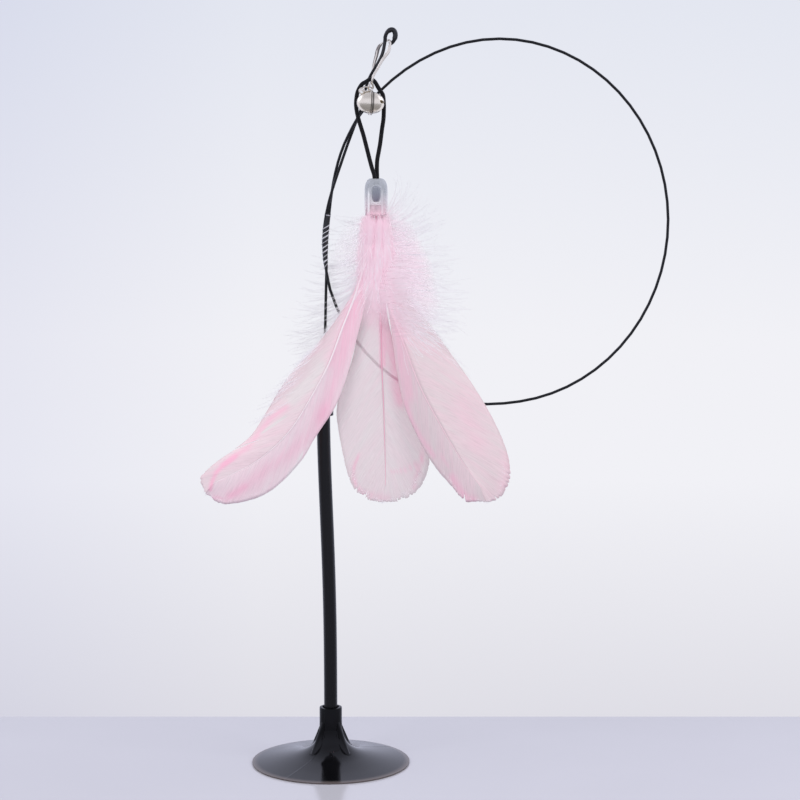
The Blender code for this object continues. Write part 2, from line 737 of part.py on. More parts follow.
def shape_cord(look, place, pivot):
    seat = cord_seat()
    spacing = 2 * CORD_RADIUS + CORD_STRAND_GAP
    turn = math.radians(CORD_TURN_DEG)
    apart = Vector((math.sin(turn), math.cos(turn), 0)) * (spacing / 2)
    end = cap_top() - UP * (KNOT_DEPTH - TOUCH_GAP)
    left = []
    for side, lean, drop in CORD_LEFT_SHARES:
        left.append(seat + Vector((CORD_HALF_WIDTH * side, CORD_LEAN * lean, -CORD_DROP * drop)))
    right = []
    for side, lean, drop in CORD_RIGHT_SHARES:
        right.append(seat + Vector((CORD_HALF_WIDTH * side, CORD_LEAN * lean, -CORD_DROP * drop)))
    left.append(end - apart)
    right.append(end + apart)
    points = [*reversed(left), seat, *right]
    points = [point - seat for point in smooth_path(points, 1)]
    cord = add_object("elastic_cord", wire_curve("elastic_cord", points, CORD_RADIUS, 2), look, place)
    cord.location = seat
    hang(cord, pivot)
    return cord


def bell_axis():
    return Vector(BELL_AXIS_SHARES).normalized()


def bell_centre():
    return eyelet_centre() + Vector((0, -BELL_FORWARD, -BELL_DROP))


def bell_turn():
    return turn_to(bell_axis(), FRONT)


def bell_profile():
    """Section of one half, its dome up, from the pole down outside and back up inside."""
    low = TOUCH_GAP / 2
    inner = BELL_RADIUS - BELL_WALL
    profile = []
    for k in range(BELL_ARC_STEPS):
        angle = math.pi / 2 * (1 - k / BELL_ARC_STEPS)
        height = BELL_RADIUS * BELL_FLATTEN_SHARE * math.sin(angle)
        profile.append((BELL_RADIUS * math.cos(angle), max(height, low + BELL_RIM_THICKNESS)))
    profile.append((BELL_RADIUS, low + BELL_RIM_THICKNESS))
    profile.append((BELL_RADIUS + BELL_RIM, low + BELL_RIM_THICKNESS))
    profile.append((BELL_RADIUS + BELL_RIM, low))
    profile.append((inner, low))
    for k in range(1, BELL_ARC_STEPS + 1):
        angle = math.pi / 2 * k / BELL_ARC_STEPS
        height = (BELL_RADIUS * BELL_FLATTEN_SHARE - BELL_WALL) * math.sin(angle)
        profile.append((inner * math.cos(angle), max(height, low)))
    profile[0] = (0, profile[0][1])
    profile[-1] = (0, profile[-1][1])
    return profile


def shape_bell(looks, place, tools, pivot):
    centre = bell_centre()
    turn = bell_turn()
    upper = turned("bell_upper_shell", bell_profile(), False, BELL_STEPS, looks["bell"], place)
    upper.location = centre
    hang(upper, pivot, turn)
    flipped = [(radius, -height) for radius, height in reversed(bell_profile())]
    lower = turned("bell_lower_shell", flipped, False, BELL_STEPS, looks["bell"], place)
    depth = BELL_RADIUS + CUT_OVERRUN
    half = BELL_SLOT / 2
    outline = (
        (-BELL_SLOT_REACH, -half), (BELL_SLOT_REACH, -half), (BELL_SLOT_REACH, half),
        (-BELL_SLOT_REACH, half),
    )
    for k in range(2):
        slot = add_cutter("bell_slot", flat_outline("bell_slot", [outline], depth), tools)
        slot.rotation_euler = (0, 0, k * math.pi / 2)
        slot.location = (0, 0, -depth / 2 - BELL_RIM_THICKNESS * 2)
        combine(lower, to_mesh(slot), "DIFFERENCE")
    for k in range(4):
        angle = k * math.pi / 2
        spot = Vector((math.cos(angle), math.sin(angle), 0)) * BELL_SLOT_REACH
        top = spot - UP * (BELL_RIM_THICKNESS * 2)
        hole = wire_curve("slot_end", [top, top - UP * depth], BELL_SLOT_END_RADIUS, 3)
        combine(lower, to_mesh(add_cutter("slot_end", hole, tools)), "DIFFERENCE")
    lower = bake(lower, "bell_lower_shell", looks["bell"], place)
    lower.location = centre
    hang(lower, pivot, turn)
    top = BELL_RADIUS * BELL_FLATTEN_SHARE + TOUCH_GAP + BELL_LOOP_WIRE + BELL_LOOP_RADIUS
    loop_centre = centre + bell_axis() * top
    eyelet_top, eyelet_side, eyelet_axis = eyelet_frame()
    loop_axis = (eyelet_axis - bell_axis() * eyelet_axis.dot(bell_axis())).normalized()
    points = ring_points(Vector((0, 0, 0)), loop_axis, bell_axis(), BELL_LOOP_RADIUS, RING_SIDES)
    data = wire_curve("bell_loop", points, BELL_LOOP_WIRE, 2, cyclic=True)
    loop = add_object("bell_loop", data, looks["bell"], place)
    loop.location = loop_centre
    hang(loop, pivot)
    middle = (loop_centre + eyelet_centre()) / 2
    reach = (eyelet_centre() - loop_centre).normalized()
    flat = eyelet_axis - reach * eyelet_axis.dot(reach)
    ring_axis = reach.cross(flat).normalized()
    points = ring_points(Vector((0, 0, 0)), ring_axis, reach, JUMP_RING_RADIUS, RING_SIDES)
    data = wire_curve("bell_jump_ring", points, JUMP_RING_WIRE, 2, cyclic=True)
    ring = add_object("bell_jump_ring", data, looks["steel"], place)
    ring.location = middle
    hang(ring, pivot)
    profile = []
    for k in range(PEA_STEPS // 2 + 1):
        angle = math.pi * k / (PEA_STEPS // 2)
        profile.append((PEA_RADIUS * math.sin(angle), PEA_RADIUS * math.cos(angle)))
    profile[0] = (0, PEA_RADIUS)
    profile[-1] = (0, -PEA_RADIUS)
    pea = turned("bell_pea", profile, False, PEA_STEPS, looks["steel"], place)
    seat = BELL_RADIUS * BELL_FLATTEN_SHARE - BELL_WALL - TOUCH_GAP - PEA_RADIUS
    pea.location = centre - bell_axis() * seat
    hang(pea, pivot, turn)


def bake(item, name, look, place):
    """Replaces an item by its finished mesh under the same name."""
    solid = to_mesh(item)
    solid.name = name
    solid.data.materials.clear()
    solid.data.materials.append(look)
    return solid


def shape_cap(look, place, pivot):
    inner = CAP_RADIUS - CAP_WALL
    profile = []
    for k in range(CAP_ARC_STEPS + 1):
        angle = math.pi / 2 * k / CAP_ARC_STEPS
        radius = CAP_HOLE_RADIUS + (CAP_RADIUS - CAP_HOLE_RADIUS) * math.sin(angle)
        profile.append((radius, -CAP_DOME * (1 - math.cos(angle))))
    profile.append((CAP_RADIUS, -CAP_LENGTH))
    profile.append((inner, -CAP_LENGTH))
    for k in range(CAP_ARC_STEPS + 1):
        angle = math.pi / 2 * (1 - k / CAP_ARC_STEPS)
        radius = CAP_HOLE_RADIUS + (inner - CAP_HOLE_RADIUS) * math.sin(angle)
        height = (CAP_DOME - CAP_WALL) * (1 - math.cos(angle))
        profile.append((radius, -CAP_WALL - height))
    cap = turned("lure_cap", profile, True, CAP_STEPS, look, place)
    cap.location = cap_top()
    hang(cap, pivot)
    return cap


def shape_knot(look, place, pivot):
    profile = [(0, 0)]
    for out, up in KNOT_ROUND_SHARES:
        profile.append((KNOT_RADIUS * out, -KNOT_LENGTH * (1 - up)))
    profile.append((0, -KNOT_LENGTH))
    knot = turned("cord_knot", profile, False, KNOT_STEPS, look, place)
    knot.location = cap_top() - UP * KNOT_DEPTH
    hang(knot, pivot)
    return knot


def quill_spots():
    """Places of the three quill ends on the underside of the glue, left, middle and right."""
    foot = cap_top() - UP * (CAP_LENGTH - GLUE_RECESS)
    return (
        foot + Vector((-QUILL_SPREAD, -QUILL_FORWARD, 0)),
        foot + Vector((0, QUILL_BACKWARD, 0)),
        foot + Vector((QUILL_SPREAD, -QUILL_FORWARD, 0)),
    )


def shape_glue(look, place, tools, pivot):
    radius = CAP_RADIUS - CAP_WALL - TOUCH_GAP
    top = -(KNOT_DEPTH + KNOT_LENGTH + TOUCH_GAP)
    foot = -(CAP_LENGTH - GLUE_RECESS)
    profile = ((0, top), (radius, top), (radius, foot), (0, foot))
    glue = turned("glue_plug", profile, False, CAP_STEPS, look, place)
    glue.location = cap_top()
    for spot in quill_spots():
        points = [spot - UP * CUT_OVERRUN, spot + UP * (QUILL_DEPTH + TOUCH_GAP)]
        hole = wire_curve("quill_hole", points, QUILL_RADIUS + TOUCH_GAP, 3)
        combine(glue, to_mesh(add_cutter("quill_hole", hole, tools)), "DIFFERENCE")
    glue = bake(glue, "glue_plug", look, place)
    hang(glue, pivot)
    return glue


def feather_rings(start, reach, path_shares, half_widths, vane_shares, down_runs):
    """Rings of eight corners along a feather, with the frame of each ring."""
    raw = []
    for x, y, z in path_shares:
        raw.append(start + Vector((reach[0] * x, reach[1] * y, reach[2] * z)))
    path = smooth_path(raw, 8)
    lengths = [0.0]
    for first, second in zip(path, path[1:]):
        lengths.append(lengths[-1] + (second - first).length)
    total = lengths[-1]
    spots = [0.0, DOWN_START / 2]
    for k in range(down_runs + 1):
        spots.append(DOWN_START + DOWN_PITCH * k)
    last = spots[-1]
    for k in range(1, VANE_RUNS + 1):
        spots.append(last + (total - last) * k / VANE_RUNS)
    rings = []
    for spot in spots:
        k = 0
        while k < len(lengths) - 2 and lengths[k + 1] < spot:
            k += 1
        t = (spot - lengths[k]) / (lengths[k + 1] - lengths[k])
        point = path[k].lerp(path[k + 1], t)
        ahead = path[min(k + 2, len(path) - 1)]
        along = (ahead - path[max(k - 1, 0)]).normalized()
        side = FRONT.cross(along).normalized()
        front = along.cross(side).normalized() * -1
        share = spot / total
        shaft = QUILL_RADIUS + (SHAFT_TIP_RADIUS - QUILL_RADIUS) * share
        corners = {}
        for sign, column in ((-1, 1), (1, 2)):
            width = half_widths[column - 1] * table_value(vane_shares, share, column)
            width = max(width, shaft)
            spread = (width - shaft) / width
            half = width * (0.7 - 0.2 * spread)
            thick = shaft * 0.7 * (1 - spread) + VANE_HALF_THICKNESS * spread
            bend = VANE_CAMBER * spread * width / max(half_widths)
            corners[sign, "edge"] = point + side * (sign * width) - front * bend
            middle = point + side * (sign * half) - front * (bend / 4)
            corners[sign, "front"] = middle + front * thick
            corners[sign, "back"] = middle - front * thick
        ring = (
            corners[-1, "edge"], corners[-1, "front"], point + front * shaft, corners[1, "front"],
            corners[1, "edge"], corners[1, "back"], point - front * shaft, corners[-1, "back"],
        )
        rings.append((ring, along, side, front))
    return rings


def grow_down(shape, face, along, outward, lift, length):
    """Draws a tapered, bent barb out of one face of a shaft."""
    angle = math.radians(lift)
    heading = outward * math.cos(angle) - along * math.sin(angle)
    for k in range(DOWN_SEGMENTS):
        grown = bmesh.ops.extrude_discrete_faces(shape, faces=[face])
        face = grown["faces"][0]
        heading = (heading + along * (DOWN_BEND_SHARE / DOWN_SEGMENTS)).normalized()
        centre = face.calc_center_median()
        for vert in face.verts:
            offset = (vert.co - centre) * DOWN_SCALE_SHARES[k]
            vert.co = centre + offset + heading * (length / DOWN_SEGMENTS)


def shape_feather(name, start, sizes, shares, down, look, place, pivot):
    reach, half_widths = sizes
    path_shares, vane_shares = shares
    down_runs, down_lengths = down
    rings = feather_rings(start, reach, path_shares, half_widths, vane_shares, down_runs)
    shape = bmesh.new()
    seat = Vector(pivot.location)
    rows = []
    for ring, along, side, front in rings:
        rows.append([shape.verts.new(corner - seat) for corner in ring])
    walls = []
    for low, high in zip(rows, rows[1:]):
        wall = []
        for k in range(8):
            after = (k + 1) % 8
            wall.append(shape.faces.new((low[k], low[after], high[after], high[k])))
        walls.append(wall)
    shape.faces.new(list(reversed(rows[0])))
    shape.faces.new(rows[-1])
    bmesh.ops.recalc_face_normals(shape, faces=shape.faces)
    for run in range(down_runs):
        ring, along, side, front = rings[run + 2]
        lift = DOWN_TOP_DEG + (DOWN_FOOT_DEG - DOWN_TOP_DEG) * run / (down_runs - 1)
        for sign, faces, length in ((-1, (0, 7), down_lengths[0]), (1, (3, 4), down_lengths[1])):
            if length == 0:
                continue
            for k, number in enumerate(faces):
                toward = front if number in (0, 3) else front * -1
                outward = (side * sign + toward * DOWN_SPREAD_SHARE).normalized()
                share = DOWN_LENGTH_SHARES[(run + 2 * k) % len(DOWN_LENGTH_SHARES)]
                grow_down(shape, walls[run + 2][number], along, outward, lift, length * share)
    data = bpy.data.meshes.new(name)
    bmesh.ops.recalc_face_normals(shape, faces=shape.faces)
    shape.to_mesh(data)
    shape.free()
    feather = add_object(name, data, look, place)
    feather.location = seat
    hang(feather, pivot)
    return feather


def build():
    clear_scene()
    place = new_collection("suction_cup_cat_teaser", False)
    tools = new_collection("cutters", True)
    looks = {
        "cup": new_material("soft_black_vinyl", (0.016, 0.016, 0.018), 0.0, 0.28),
        "tube": new_material("black_tube", (0.020, 0.020, 0.022), 0.0, 0.40),
        "wire": new_material("coated_spring_wire", (0.012, 0.012, 0.013), 0.2, 0.38),
        "tape": new_material("black_tape", (0.020, 0.020, 0.022), 0.0, 0.30),
        "steel": new_material("plated_steel", (0.72, 0.72, 0.74), 1.0, 0.25),
        "bell": new_material("plated_bell", (0.80, 0.80, 0.80), 1.0, 0.20),
        "cord": new_material("black_elastic", (0.015, 0.015, 0.016), 0.0, 0.60),
        "glue": new_material("clear_glue", (0.78, 0.78, 0.80), 0.0, 0.35),
        "cap": new_material("frosted_cap", (0.80, 0.83, 0.90), 0.0, 0.30),
        "feather": new_material("pink_feather", (0.93, 0.66, 0.76), 0.0, 0.85),
    }
    wand = add_pivot("wand_pivot", (0, 0, 0), place)
    snap = add_pivot("snap_pivot", snap_hinge(), place)
    gate = add_pivot("gate_pivot", gate_hinge(), place)
    lure = add_pivot("lure_pivot", cord_seat(), place)
    bell = add_pivot("bell_pivot", eyelet_centre(), place)

    shape_suction_cup(looks["cup"], place, tools)
    hang(bake(shape_pole_tube(looks["tube"], place, tools), "pole_tube", looks["tube"], place), wand)
    hang(shape_collar(looks["tube"], place), wand)
    points, swells = wire_path()
    data = wire_curve("spring_wire", points, WIRE_RADIUS, 2, swells)
    hang(add_object("spring_wire", data, looks["wire"], place), wand)
    hang(shape_binding(looks["tape"], place), wand)
    cuff = shape_cuff(looks["tape"], place)
    cuff.parent = wand

    shape_snap(looks["steel"], place, snap)
    shape_gate(looks["steel"], place, gate)
    shape_cord(looks["cord"], place, lure)
    shape_bell(looks, place, tools, bell)
    shape_cap(looks["cap"], place, lure)
    shape_knot(looks["cord"], place, lure)
    shape_glue(looks["glue"], place, tools, lure)
    left, middle, right = [spot + UP * QUILL_DEPTH for spot in quill_spots()]
    shape_feather(
        "feather_left", left, (LEFT_REACH, LEFT_HALF_WIDTHS), (LEFT_PATH_SHARES, LEFT_VANE_SHARES),
        (LEFT_DOWN_RUNS, LEFT_DOWN_LENGTHS), looks["feather"], place, lure,
    )
    shape_feather(
        "feather_middle", middle, (MIDDLE_REACH, MIDDLE_HALF_WIDTHS),
        (MIDDLE_PATH_SHARES, MIDDLE_VANE_SHARES), (MIDDLE_DOWN_RUNS, MIDDLE_DOWN_LENGTHS),
        looks["feather"], place, lure,
    )
    shape_feather(
        "feather_right", right, (RIGHT_REACH, RIGHT_HALF_WIDTHS),
        (RIGHT_PATH_SHARES, RIGHT_VANE_SHARES), (RIGHT_DOWN_RUNS, RIGHT_DOWN_LENGTHS),
        looks["feather"], place, lure,
    )


build()
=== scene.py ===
import math
import random
from functools import partial

import bmesh
import bpy
import numpy as np
from mathutils import Matrix, Vector, noise


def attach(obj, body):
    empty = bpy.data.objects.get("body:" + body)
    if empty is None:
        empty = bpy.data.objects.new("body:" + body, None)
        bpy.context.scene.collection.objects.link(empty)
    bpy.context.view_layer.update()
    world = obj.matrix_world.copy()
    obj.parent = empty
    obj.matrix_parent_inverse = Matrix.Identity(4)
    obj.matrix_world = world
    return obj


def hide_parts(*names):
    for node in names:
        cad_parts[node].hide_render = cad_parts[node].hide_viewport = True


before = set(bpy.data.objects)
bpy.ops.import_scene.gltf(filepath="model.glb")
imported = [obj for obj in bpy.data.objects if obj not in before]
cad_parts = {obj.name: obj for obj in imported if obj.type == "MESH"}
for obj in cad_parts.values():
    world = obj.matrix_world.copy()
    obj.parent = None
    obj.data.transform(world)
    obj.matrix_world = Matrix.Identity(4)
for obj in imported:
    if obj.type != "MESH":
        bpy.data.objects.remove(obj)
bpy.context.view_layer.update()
mm = 0.001
depthAxis = Vector((0, 1, 0))  # flattened tubes turn their flat side to it
print("frame loaded:", len(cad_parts), "nodes")


# small helpers

def fromHex(text):
    values = [int(text[k:k + 2], 16) / 255 for k in (1, 3, 5)]
    linear = [v / 12.92 if v <= 0.04045 else ((v + 0.055) / 1.055) ** 2.4 for v in values]
    return (*linear, 1)


def feed(node, inputs):
    # inputs by name or number, or in the sockets' order; "#" starts a hex colour, a socket is linked
    for name, value in inputs.items() if isinstance(inputs, dict) else enumerate(inputs):
        if isinstance(value, bpy.types.NodeSocket):
            node.id_data.links.new(value, node.inputs[name])
        else:
            node.inputs[name].default_value = fromHex(value) if str(value)[0] == "#" else value


def addNode(tree, kind, inputs=(), out=0, **settings):
    # "Math ADD" is a Math node set to ADD; gives one output, or all of them where out is None
    kind, *mode = kind.split()
    node = tree.nodes.new(kind if "Node" in kind else "ShaderNode" + kind)
    if kind == "Mix":
        # its colours are inputs 6 and 7, and output 2
        inputs, out = dict(zip((0, 6, 7), inputs)), 2
    if mode:
        settings["data_type" if kind == "Mix" else "operation"] = mode[0]
    for name, value in settings.items():
        setattr(node, name, value)
    feed(node, inputs)
    return node.outputs if out is None else node.outputs[out]


def smoothRoute(points, steps):
    # Catmull-Rom through the given points
    result = []
    for k in range(len(points) - 1):
        p0, p1, p2 = points[max(k - 1, 0)], points[k], points[k + 1]
        p3 = points[min(k + 2, len(points) - 1)]
        for step in range(steps):
            t = step / steps
            a = 2 * p1 + (p2 - p0) * t
            b = (2 * p0 - 5 * p1 + 4 * p2 - p3) * t ** 2
            c = (3 * p1 - p0 - 3 * p2 + p3) * t ** 3
            result.append((a + b + c) / 2)
    return result + [points[-1].copy()]


def smoothTable(table, steps):
    return smoothRoute([Vector(point) * mm for point in table], steps)


class Route:
    # a polyline that can be asked for a place and a heading at a share of its length
    def __init__(self, points):
        self.points = points
        self.lengths = [0]
        for first, second in zip(points, points[1:]):
            self.lengths.append(self.lengths[-1] + (second - first).length)
        self.total = self.lengths[-1]

    def at(self, share):
        spot = min(max(share, 0), 1) * self.total
        k = 0
        while k < len(self.lengths) - 2 and self.lengths[k + 1] < spot:
            k += 1
        run = self.lengths[k + 1] - self.lengths[k]
        return self.points[k].lerp(self.points[k + 1], (spot - self.lengths[k]) / run)

    def even(self, count):
        return [self.at(k / count) for k in range(count + 1)]

    def heading(self, share):
        return (self.at(share + 0.01) - self.at(share - 0.01)).normalized()


def ease(t):
    t = min(max(t, 0), 1)
    return t * t * (3 - 2 * t)


def blendTable(table, position):
    for low, high in zip(table, table[1:]):
        if position <= high[0]:
            t = (position - low[0]) / (high[0] - low[0])
            return low[1] + (high[1] - low[1]) * min(max(t, 0), 1)
    return table[-1][1]


def sampled(table, count):
    return [blendTable(table, k / count) for k in range(count + 1)]


def addItem(name, data):
    item = bpy.data.objects.new(name, data)
    bpy.context.scene.collection.objects.link(item)
    return item


def meshPiece(name, data, material, body, slot, *nodes):
    piece = addItem(name, data)
    data.name = name
    data.materials.clear()
    data.materials.append(material)
    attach(piece, body)
    if nodes:
        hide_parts(*nodes)
    return piece


def meshFrom(shape, data=None):
    data = data or bpy.data.meshes.new("shape")
    shape.to_mesh(data)
    shape.free()
    return data


def evaluatedMesh(item):
    shown = item.evaluated_get(bpy.context.evaluated_depsgraph_get())
    return bpy.data.meshes.new_from_object(shown)


def skinRings(shape, rings):
    # faces between neighbouring rings, and a cap where the end isn't a single point
    sides = max(len(ring) for ring in rings)
    skin = []
    for k in range(len(rings) - 1):
        for side in range(sides):
            corners = ((k, side), (k, side + 1), (k + 1, side + 1), (k + 1, side))
            verts = dict.fromkeys(rings[row][turn % len(rings[row])] for row, turn in corners)
            skin.append((shape.faces.new(list(verts)), corners))
    for cap in (rings[0][::-1], rings[-1]):
        if len(cap) > 1:
            shape.faces.new(cap)
    return skin


def tubeMesh(points, radii, sides, squash=1, facing=None):
    # a capped tube with UVs: U runs round it, V along it in millimetres
    # a squashed tube turns its flat side to facing
    shape = bmesh.new()
    uv = shape.loops.layers.uv.new("UVMap")
    across = None
    rings = []
    flats = squash if isinstance(squash, list) else [squash] * len(points)
    for k, point in enumerate(points):
        along = (points[min(k + 1, len(points) - 1)] - points[max(k - 1, 0)]).normalized()
        if facing is not None:
            across = along.cross(facing)
        elif across is None:
            across = along.orthogonal()
        across = (across - along * across.dot(along)).normalized()
        other = along.cross(across)
        rings.append([])
        for side in range(sides):
            angle = 2 * math.pi * side / sides
            offset = across * math.cos(angle) + other * (math.sin(angle) * flats[k])
            rings[k].append(shape.verts.new(point + offset * radii[k]))
    lengths = Route(points).lengths
    for face, corners in skinRings(shape, rings):
        face.smooth = True
        for loop, (row, turn) in zip(face.loops, corners):
            loop[uv].uv = (turn / sides, lengths[row] / mm)
    bmesh.ops.recalc_face_normals(shape, faces=shape.faces)
    return meshFrom(shape)


def softenByAngle(shape, degrees):
    for face in shape.faces:
        face.smooth = True
    for edge in shape.edges:
        if len(edge.link_faces) == 2:
            edge.smooth = edge.calc_face_angle(0) < math.radians(degrees)


# vertices this close in metres are one; triangles within these angles are joined to quads
mergeSetup = {"distance": 0.002 * mm, "faceAngle": 25, "shapeAngle": 60}


def dressNode(node, name, material, body, slot, levels=0, grow=0, degrees=40, shift=None):
    # stands for a CAD node with a merged, smooth-shaded copy of its loose triangles
    # grow makes up for what its flat sides take off
    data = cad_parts[node].data.copy()
    shape = bmesh.new()
    shape.from_mesh(data)
    bmesh.ops.remove_doubles(shape, verts=shape.verts, dist=mergeSetup["distance"])
    if levels:
        faceAngle, shapeAngle = [math.radians(mergeSetup[key]) for key in ("faceAngle", "shapeAngle")]
        bmesh.ops.join_triangles(shape, faces=shape.faces, angle_face_threshold=faceAngle,
                                 angle_shape_threshold=shapeAngle)
    softenByAngle(shape, degrees)
    meshFrom(shape, data)
    if shift is not None:
        data.transform(shift)
    piece = meshPiece(name, data, material, body, slot, node)
    if levels:
        step = piece.modifiers.new("Round", "SUBSURF")
        step.levels = step.render_levels = levels
        data = evaluatedMesh(piece)
        piece.modifiers.remove(step)
        piece.data = data
        data.name = name
    for vert, normal in zip(data.vertices, [vert.normal.copy() for vert in data.vertices]):
        vert.co += normal * grow
    return piece


cameraSetup = {"place": (0.0352, -1.1528, 0.3338), "tiltDown": 7.31, "lens": 104.7}


def makeCamera():
    data = bpy.data.cameras.new("photo_camera")
    data.lens = cameraSetup["lens"]
    data.sensor_width = 36
    data.clip_start = 0.05
    item = addItem("photo_camera", data)
    item.location = cameraSetup["place"]
    item.rotation_euler = (math.radians(90 - cameraSetup["tiltDown"]), 0, 0)
    bpy.context.scene.camera = item


# Materials. Most start as two colours mixed by a noise: scale is that of the noise on metres, so 1000
# is a grain of about 1 mm. Where they are given, roughness and bump (strength, depth in metres) follow it.

def plating(dark, light, rough):
    # nickel plate, polished, with cloudy patches about 3 mm across; makeNickel darkens it towards its
    # outline as a painted reflection
    return {"shader": {"Metallic": 1, "Roughness": rough}, "scale": 260, "detail": 2,
            "colours": (dark, light), "roughness": (rough * 0.8, rough * 1.2)}


def woundFilm(dark, light, rough):
    # wound polyester film, creased; the light colours of its edge strip are a painted highlight
    return {"shader": {"Roughness": rough, "IOR": 1.55}, "scale": 1300, "detail": 3,
            "colours": (dark, light), "bump": (0.4, 0.0001)}


finishes = {
    # soft PVC, injection moulded black: glossy, with faint orange peel and two thin mould lines
    "soft_pvc_moulded_black": {"shader": {"Roughness": 0.2, "IOR": 1.36}, "scale": 160, "detail": 3,
                               "colours": ("#060608", "#0e0e11")},
    # extruded black plastic: satin, with fine streaks along the tube
    "extruded_black_plastic": {"shader": {"Roughness": 0.3, "IOR": 1.38}, "scale": 1500, "detail": 3,
                               "stretch": (1, 1, 0.02), "colours": ("#060607", "#100f13"),
                               "roughness": (0.26, 0.42), "bump": (0.2, 0.0001)},
    # spring steel wire under black lacquer: satin, a little thinner here and there
    "lacquered_spring_steel": {"shader": {"Roughness": 0.35, "IOR": 1.4}, "scale": 900, "detail": 4,
                               "colours": ("#050506", "#0d0d0f"), "roughness": (0.24, 0.46),
                               "bump": (0.15, 0.0001)},
    # painted highlight: the light strip wound along the film's edge
    "wound_film_edge": woundFilm("#9d9da6", "#e6e6ec", 0.3),
    "wound_film_band": woundFilm("#77777f", "#b4b4bc", 0.35),
    "wound_film_black": woundFilm("#050506", "#121214", 0.3),
    "nickel_plated_wire": plating("#ddd3c2", "#fff8e8", 0.22),
    "nickel_plated_strip_worn": plating("#77706a", "#b5aea4", 0.3),
    "nickel_plated_bell": plating("#efe4cf", "#fff7e2", 0.24),
    # soft polyethylene cap, moulded and frosted: a milky wall, denser where it is seen on edge
    "frosted_polyethylene": {"shader": {"Roughness": 0.24, "IOR": 1.5}, "scale": 500, "detail": 4,
                             "colours": ("#a0a4ae", "#bcc0c9"), "roughness": (0.09, 0.2),
                             "bump": (0.1, 0.0001)},
    # set glue: cloudy, a little pink from the feathers in it
    "clouded_glue": {"shader": {"Roughness": 0.4, "IOR": 1.48}, "scale": 700, "detail": 4,
                     "colours": ("#f6cddd", "#fbe3ec")},
    # feather shaft: smooth horn, whitish on one feather and reddish on the others
    "feather_shaft_horn": {"shader": {"Roughness": 0.35, "IOR": 1.54}, "scale": 300, "detail": 3,
                           "colours": ("#f6e3ea", "#fdf5f7")},
    # board under clear lacquer: pale and glossy, with soft clouds
    "lacquered_pale_board": {"shader": {"Roughness": 0.16, "IOR": 1.45}, "scale": 6, "detail": 3,
                             "colours": ("#bebdc8", "#c8c7d2")},
}


def startMaterial(name, values):
    material = bpy.data.materials.new(name)
    material.use_nodes = True
    shader = material.node_tree.nodes["Principled BSDF"]
    feed(shader, values)
    return material, partial(addNode, material.node_tree), shader


def startFinish(name):
    look = finishes[name]
    material, add, shader = startMaterial(name, look["shader"])
    place = spot = add("TexCoord", out="Object")
    if "stretch" in look:
        spot = add("Mapping", {"Vector": place, "Scale": look["stretch"]})
    grain = add("TexNoise", {"Vector": spot, "Scale": look["scale"], "Detail": look["detail"]})
    dark, light = look["colours"]
    colour = add("Mix RGBA", [grain, dark, light])
    feed(shader, {"Base Color": colour})
    if "roughness" in look:
        low, high = look["roughness"]
        feed(shader, {"Roughness": add("MapRange", [grain, 0, 1, low, high])})
    if "bump" in look:
        strength, depth = look["bump"]
        feed(shader, {"Normal": add("Bump", {
            "Strength": strength, "Distance": depth, "Height": grain,
        })})
    return material, add, shader, place, colour


# rim: heights of the band of painted highlight along the rim; socket: heights where the gloss dulls;
# lineAngles: where the mould lines run
vinylMarks = {"rim": (0.0007, 0.0012), "socket": (0.008, 0.017), "lineAngles": (-2.15, 0.72)}


def makeVinyl():
    material, add, shader, place, colour = startFinish("soft_pvc_moulded_black")
    x, y, z = add("SeparateXYZ", [place], None)
    # painted highlight: the thin rim is painted a lighter grey where its rounding would mirror the floor
    rim = add("MapRange", [z, *vinylMarks["rim"], 1, 0])
    rimHighlighted = add("Mix RGBA", [rim, colour, "#665d5d"])
    # the socket is duller than the disc, where the mould was not polished
    dull = add("MapRange", [z, *vinylMarks["socket"], 0.5, 0.2])
    # smears a few millimetres across
    smear = add("TexNoise", {"Vector": place, "Scale": 90, "Detail": 5})
    rough = add("MapRange", [smear, 0.35, 0.7, 0.07, 0.16])
    # orange peel at about 1.2 mm
    peel = add("TexNoise", {"Vector": place, "Scale": 800, "Detail": 2})
    # mould lines run from the foot of a rib to the rim, on both sides
    angle = add("Math ARCTAN2", [y, x])
    height = add("Math MULTIPLY", [peel, 0.012])
    for lineAngle in vinylMarks["lineAngles"]:
        size = add("Math ABSOLUTE", [add("Math SUBTRACT", [angle, lineAngle])])
        line = add("MapRange", [size, 0.004, 0.012, 0.5, 0])
        height = add("Math ADD", [height, line])
    bump = add("Bump", {"Strength": 0.5, "Distance": 0.0003, "Height": height})
    feed(shader, {"Base Color": rimHighlighted, "Specular IOR Level": dull, "Roughness": rough, "Normal": bump})
    return material


def makeNickel(name, seam=None):
    material, add, shader, place, colour = startFinish(name)
    # painted reflection: it is darkened where it is seen on edge, as if it mirrored a dim room
    edge = add("LayerWeight", {"Blend": 0.5}, "Facing")
    marks = [add("MapRange", [edge, 0.62, 0.95])]
    if seam:
        # painted shadow: a dark band in the corner 0.9 mm below the seam, where the flange shades it,
        # thinning out to both sides
        middle, axis = seam
        away = add("VectorMath SUBTRACT", [place, middle])
        along = add("VectorMath DOT_PRODUCT", [away, axis], "Value")
        size = add("Math ABSOLUTE", [add("Math ADD", [along, 0.0009])])
        marks.append(add("MapRange", [size, 0.0003, 0.0007, 0.8, 0]))
    # the same dark colour is mixed in for each mark: painted reflection at the outline, painted shadow
    # beside the seam
    for mark in marks:
        colour = add("Mix RGBA", [mark, colour, "#3c3833"])
    feed(shader, {"Base Color": colour})
    return material


braidSetup = {"threads": 8, "perMillimetre": 1.1}


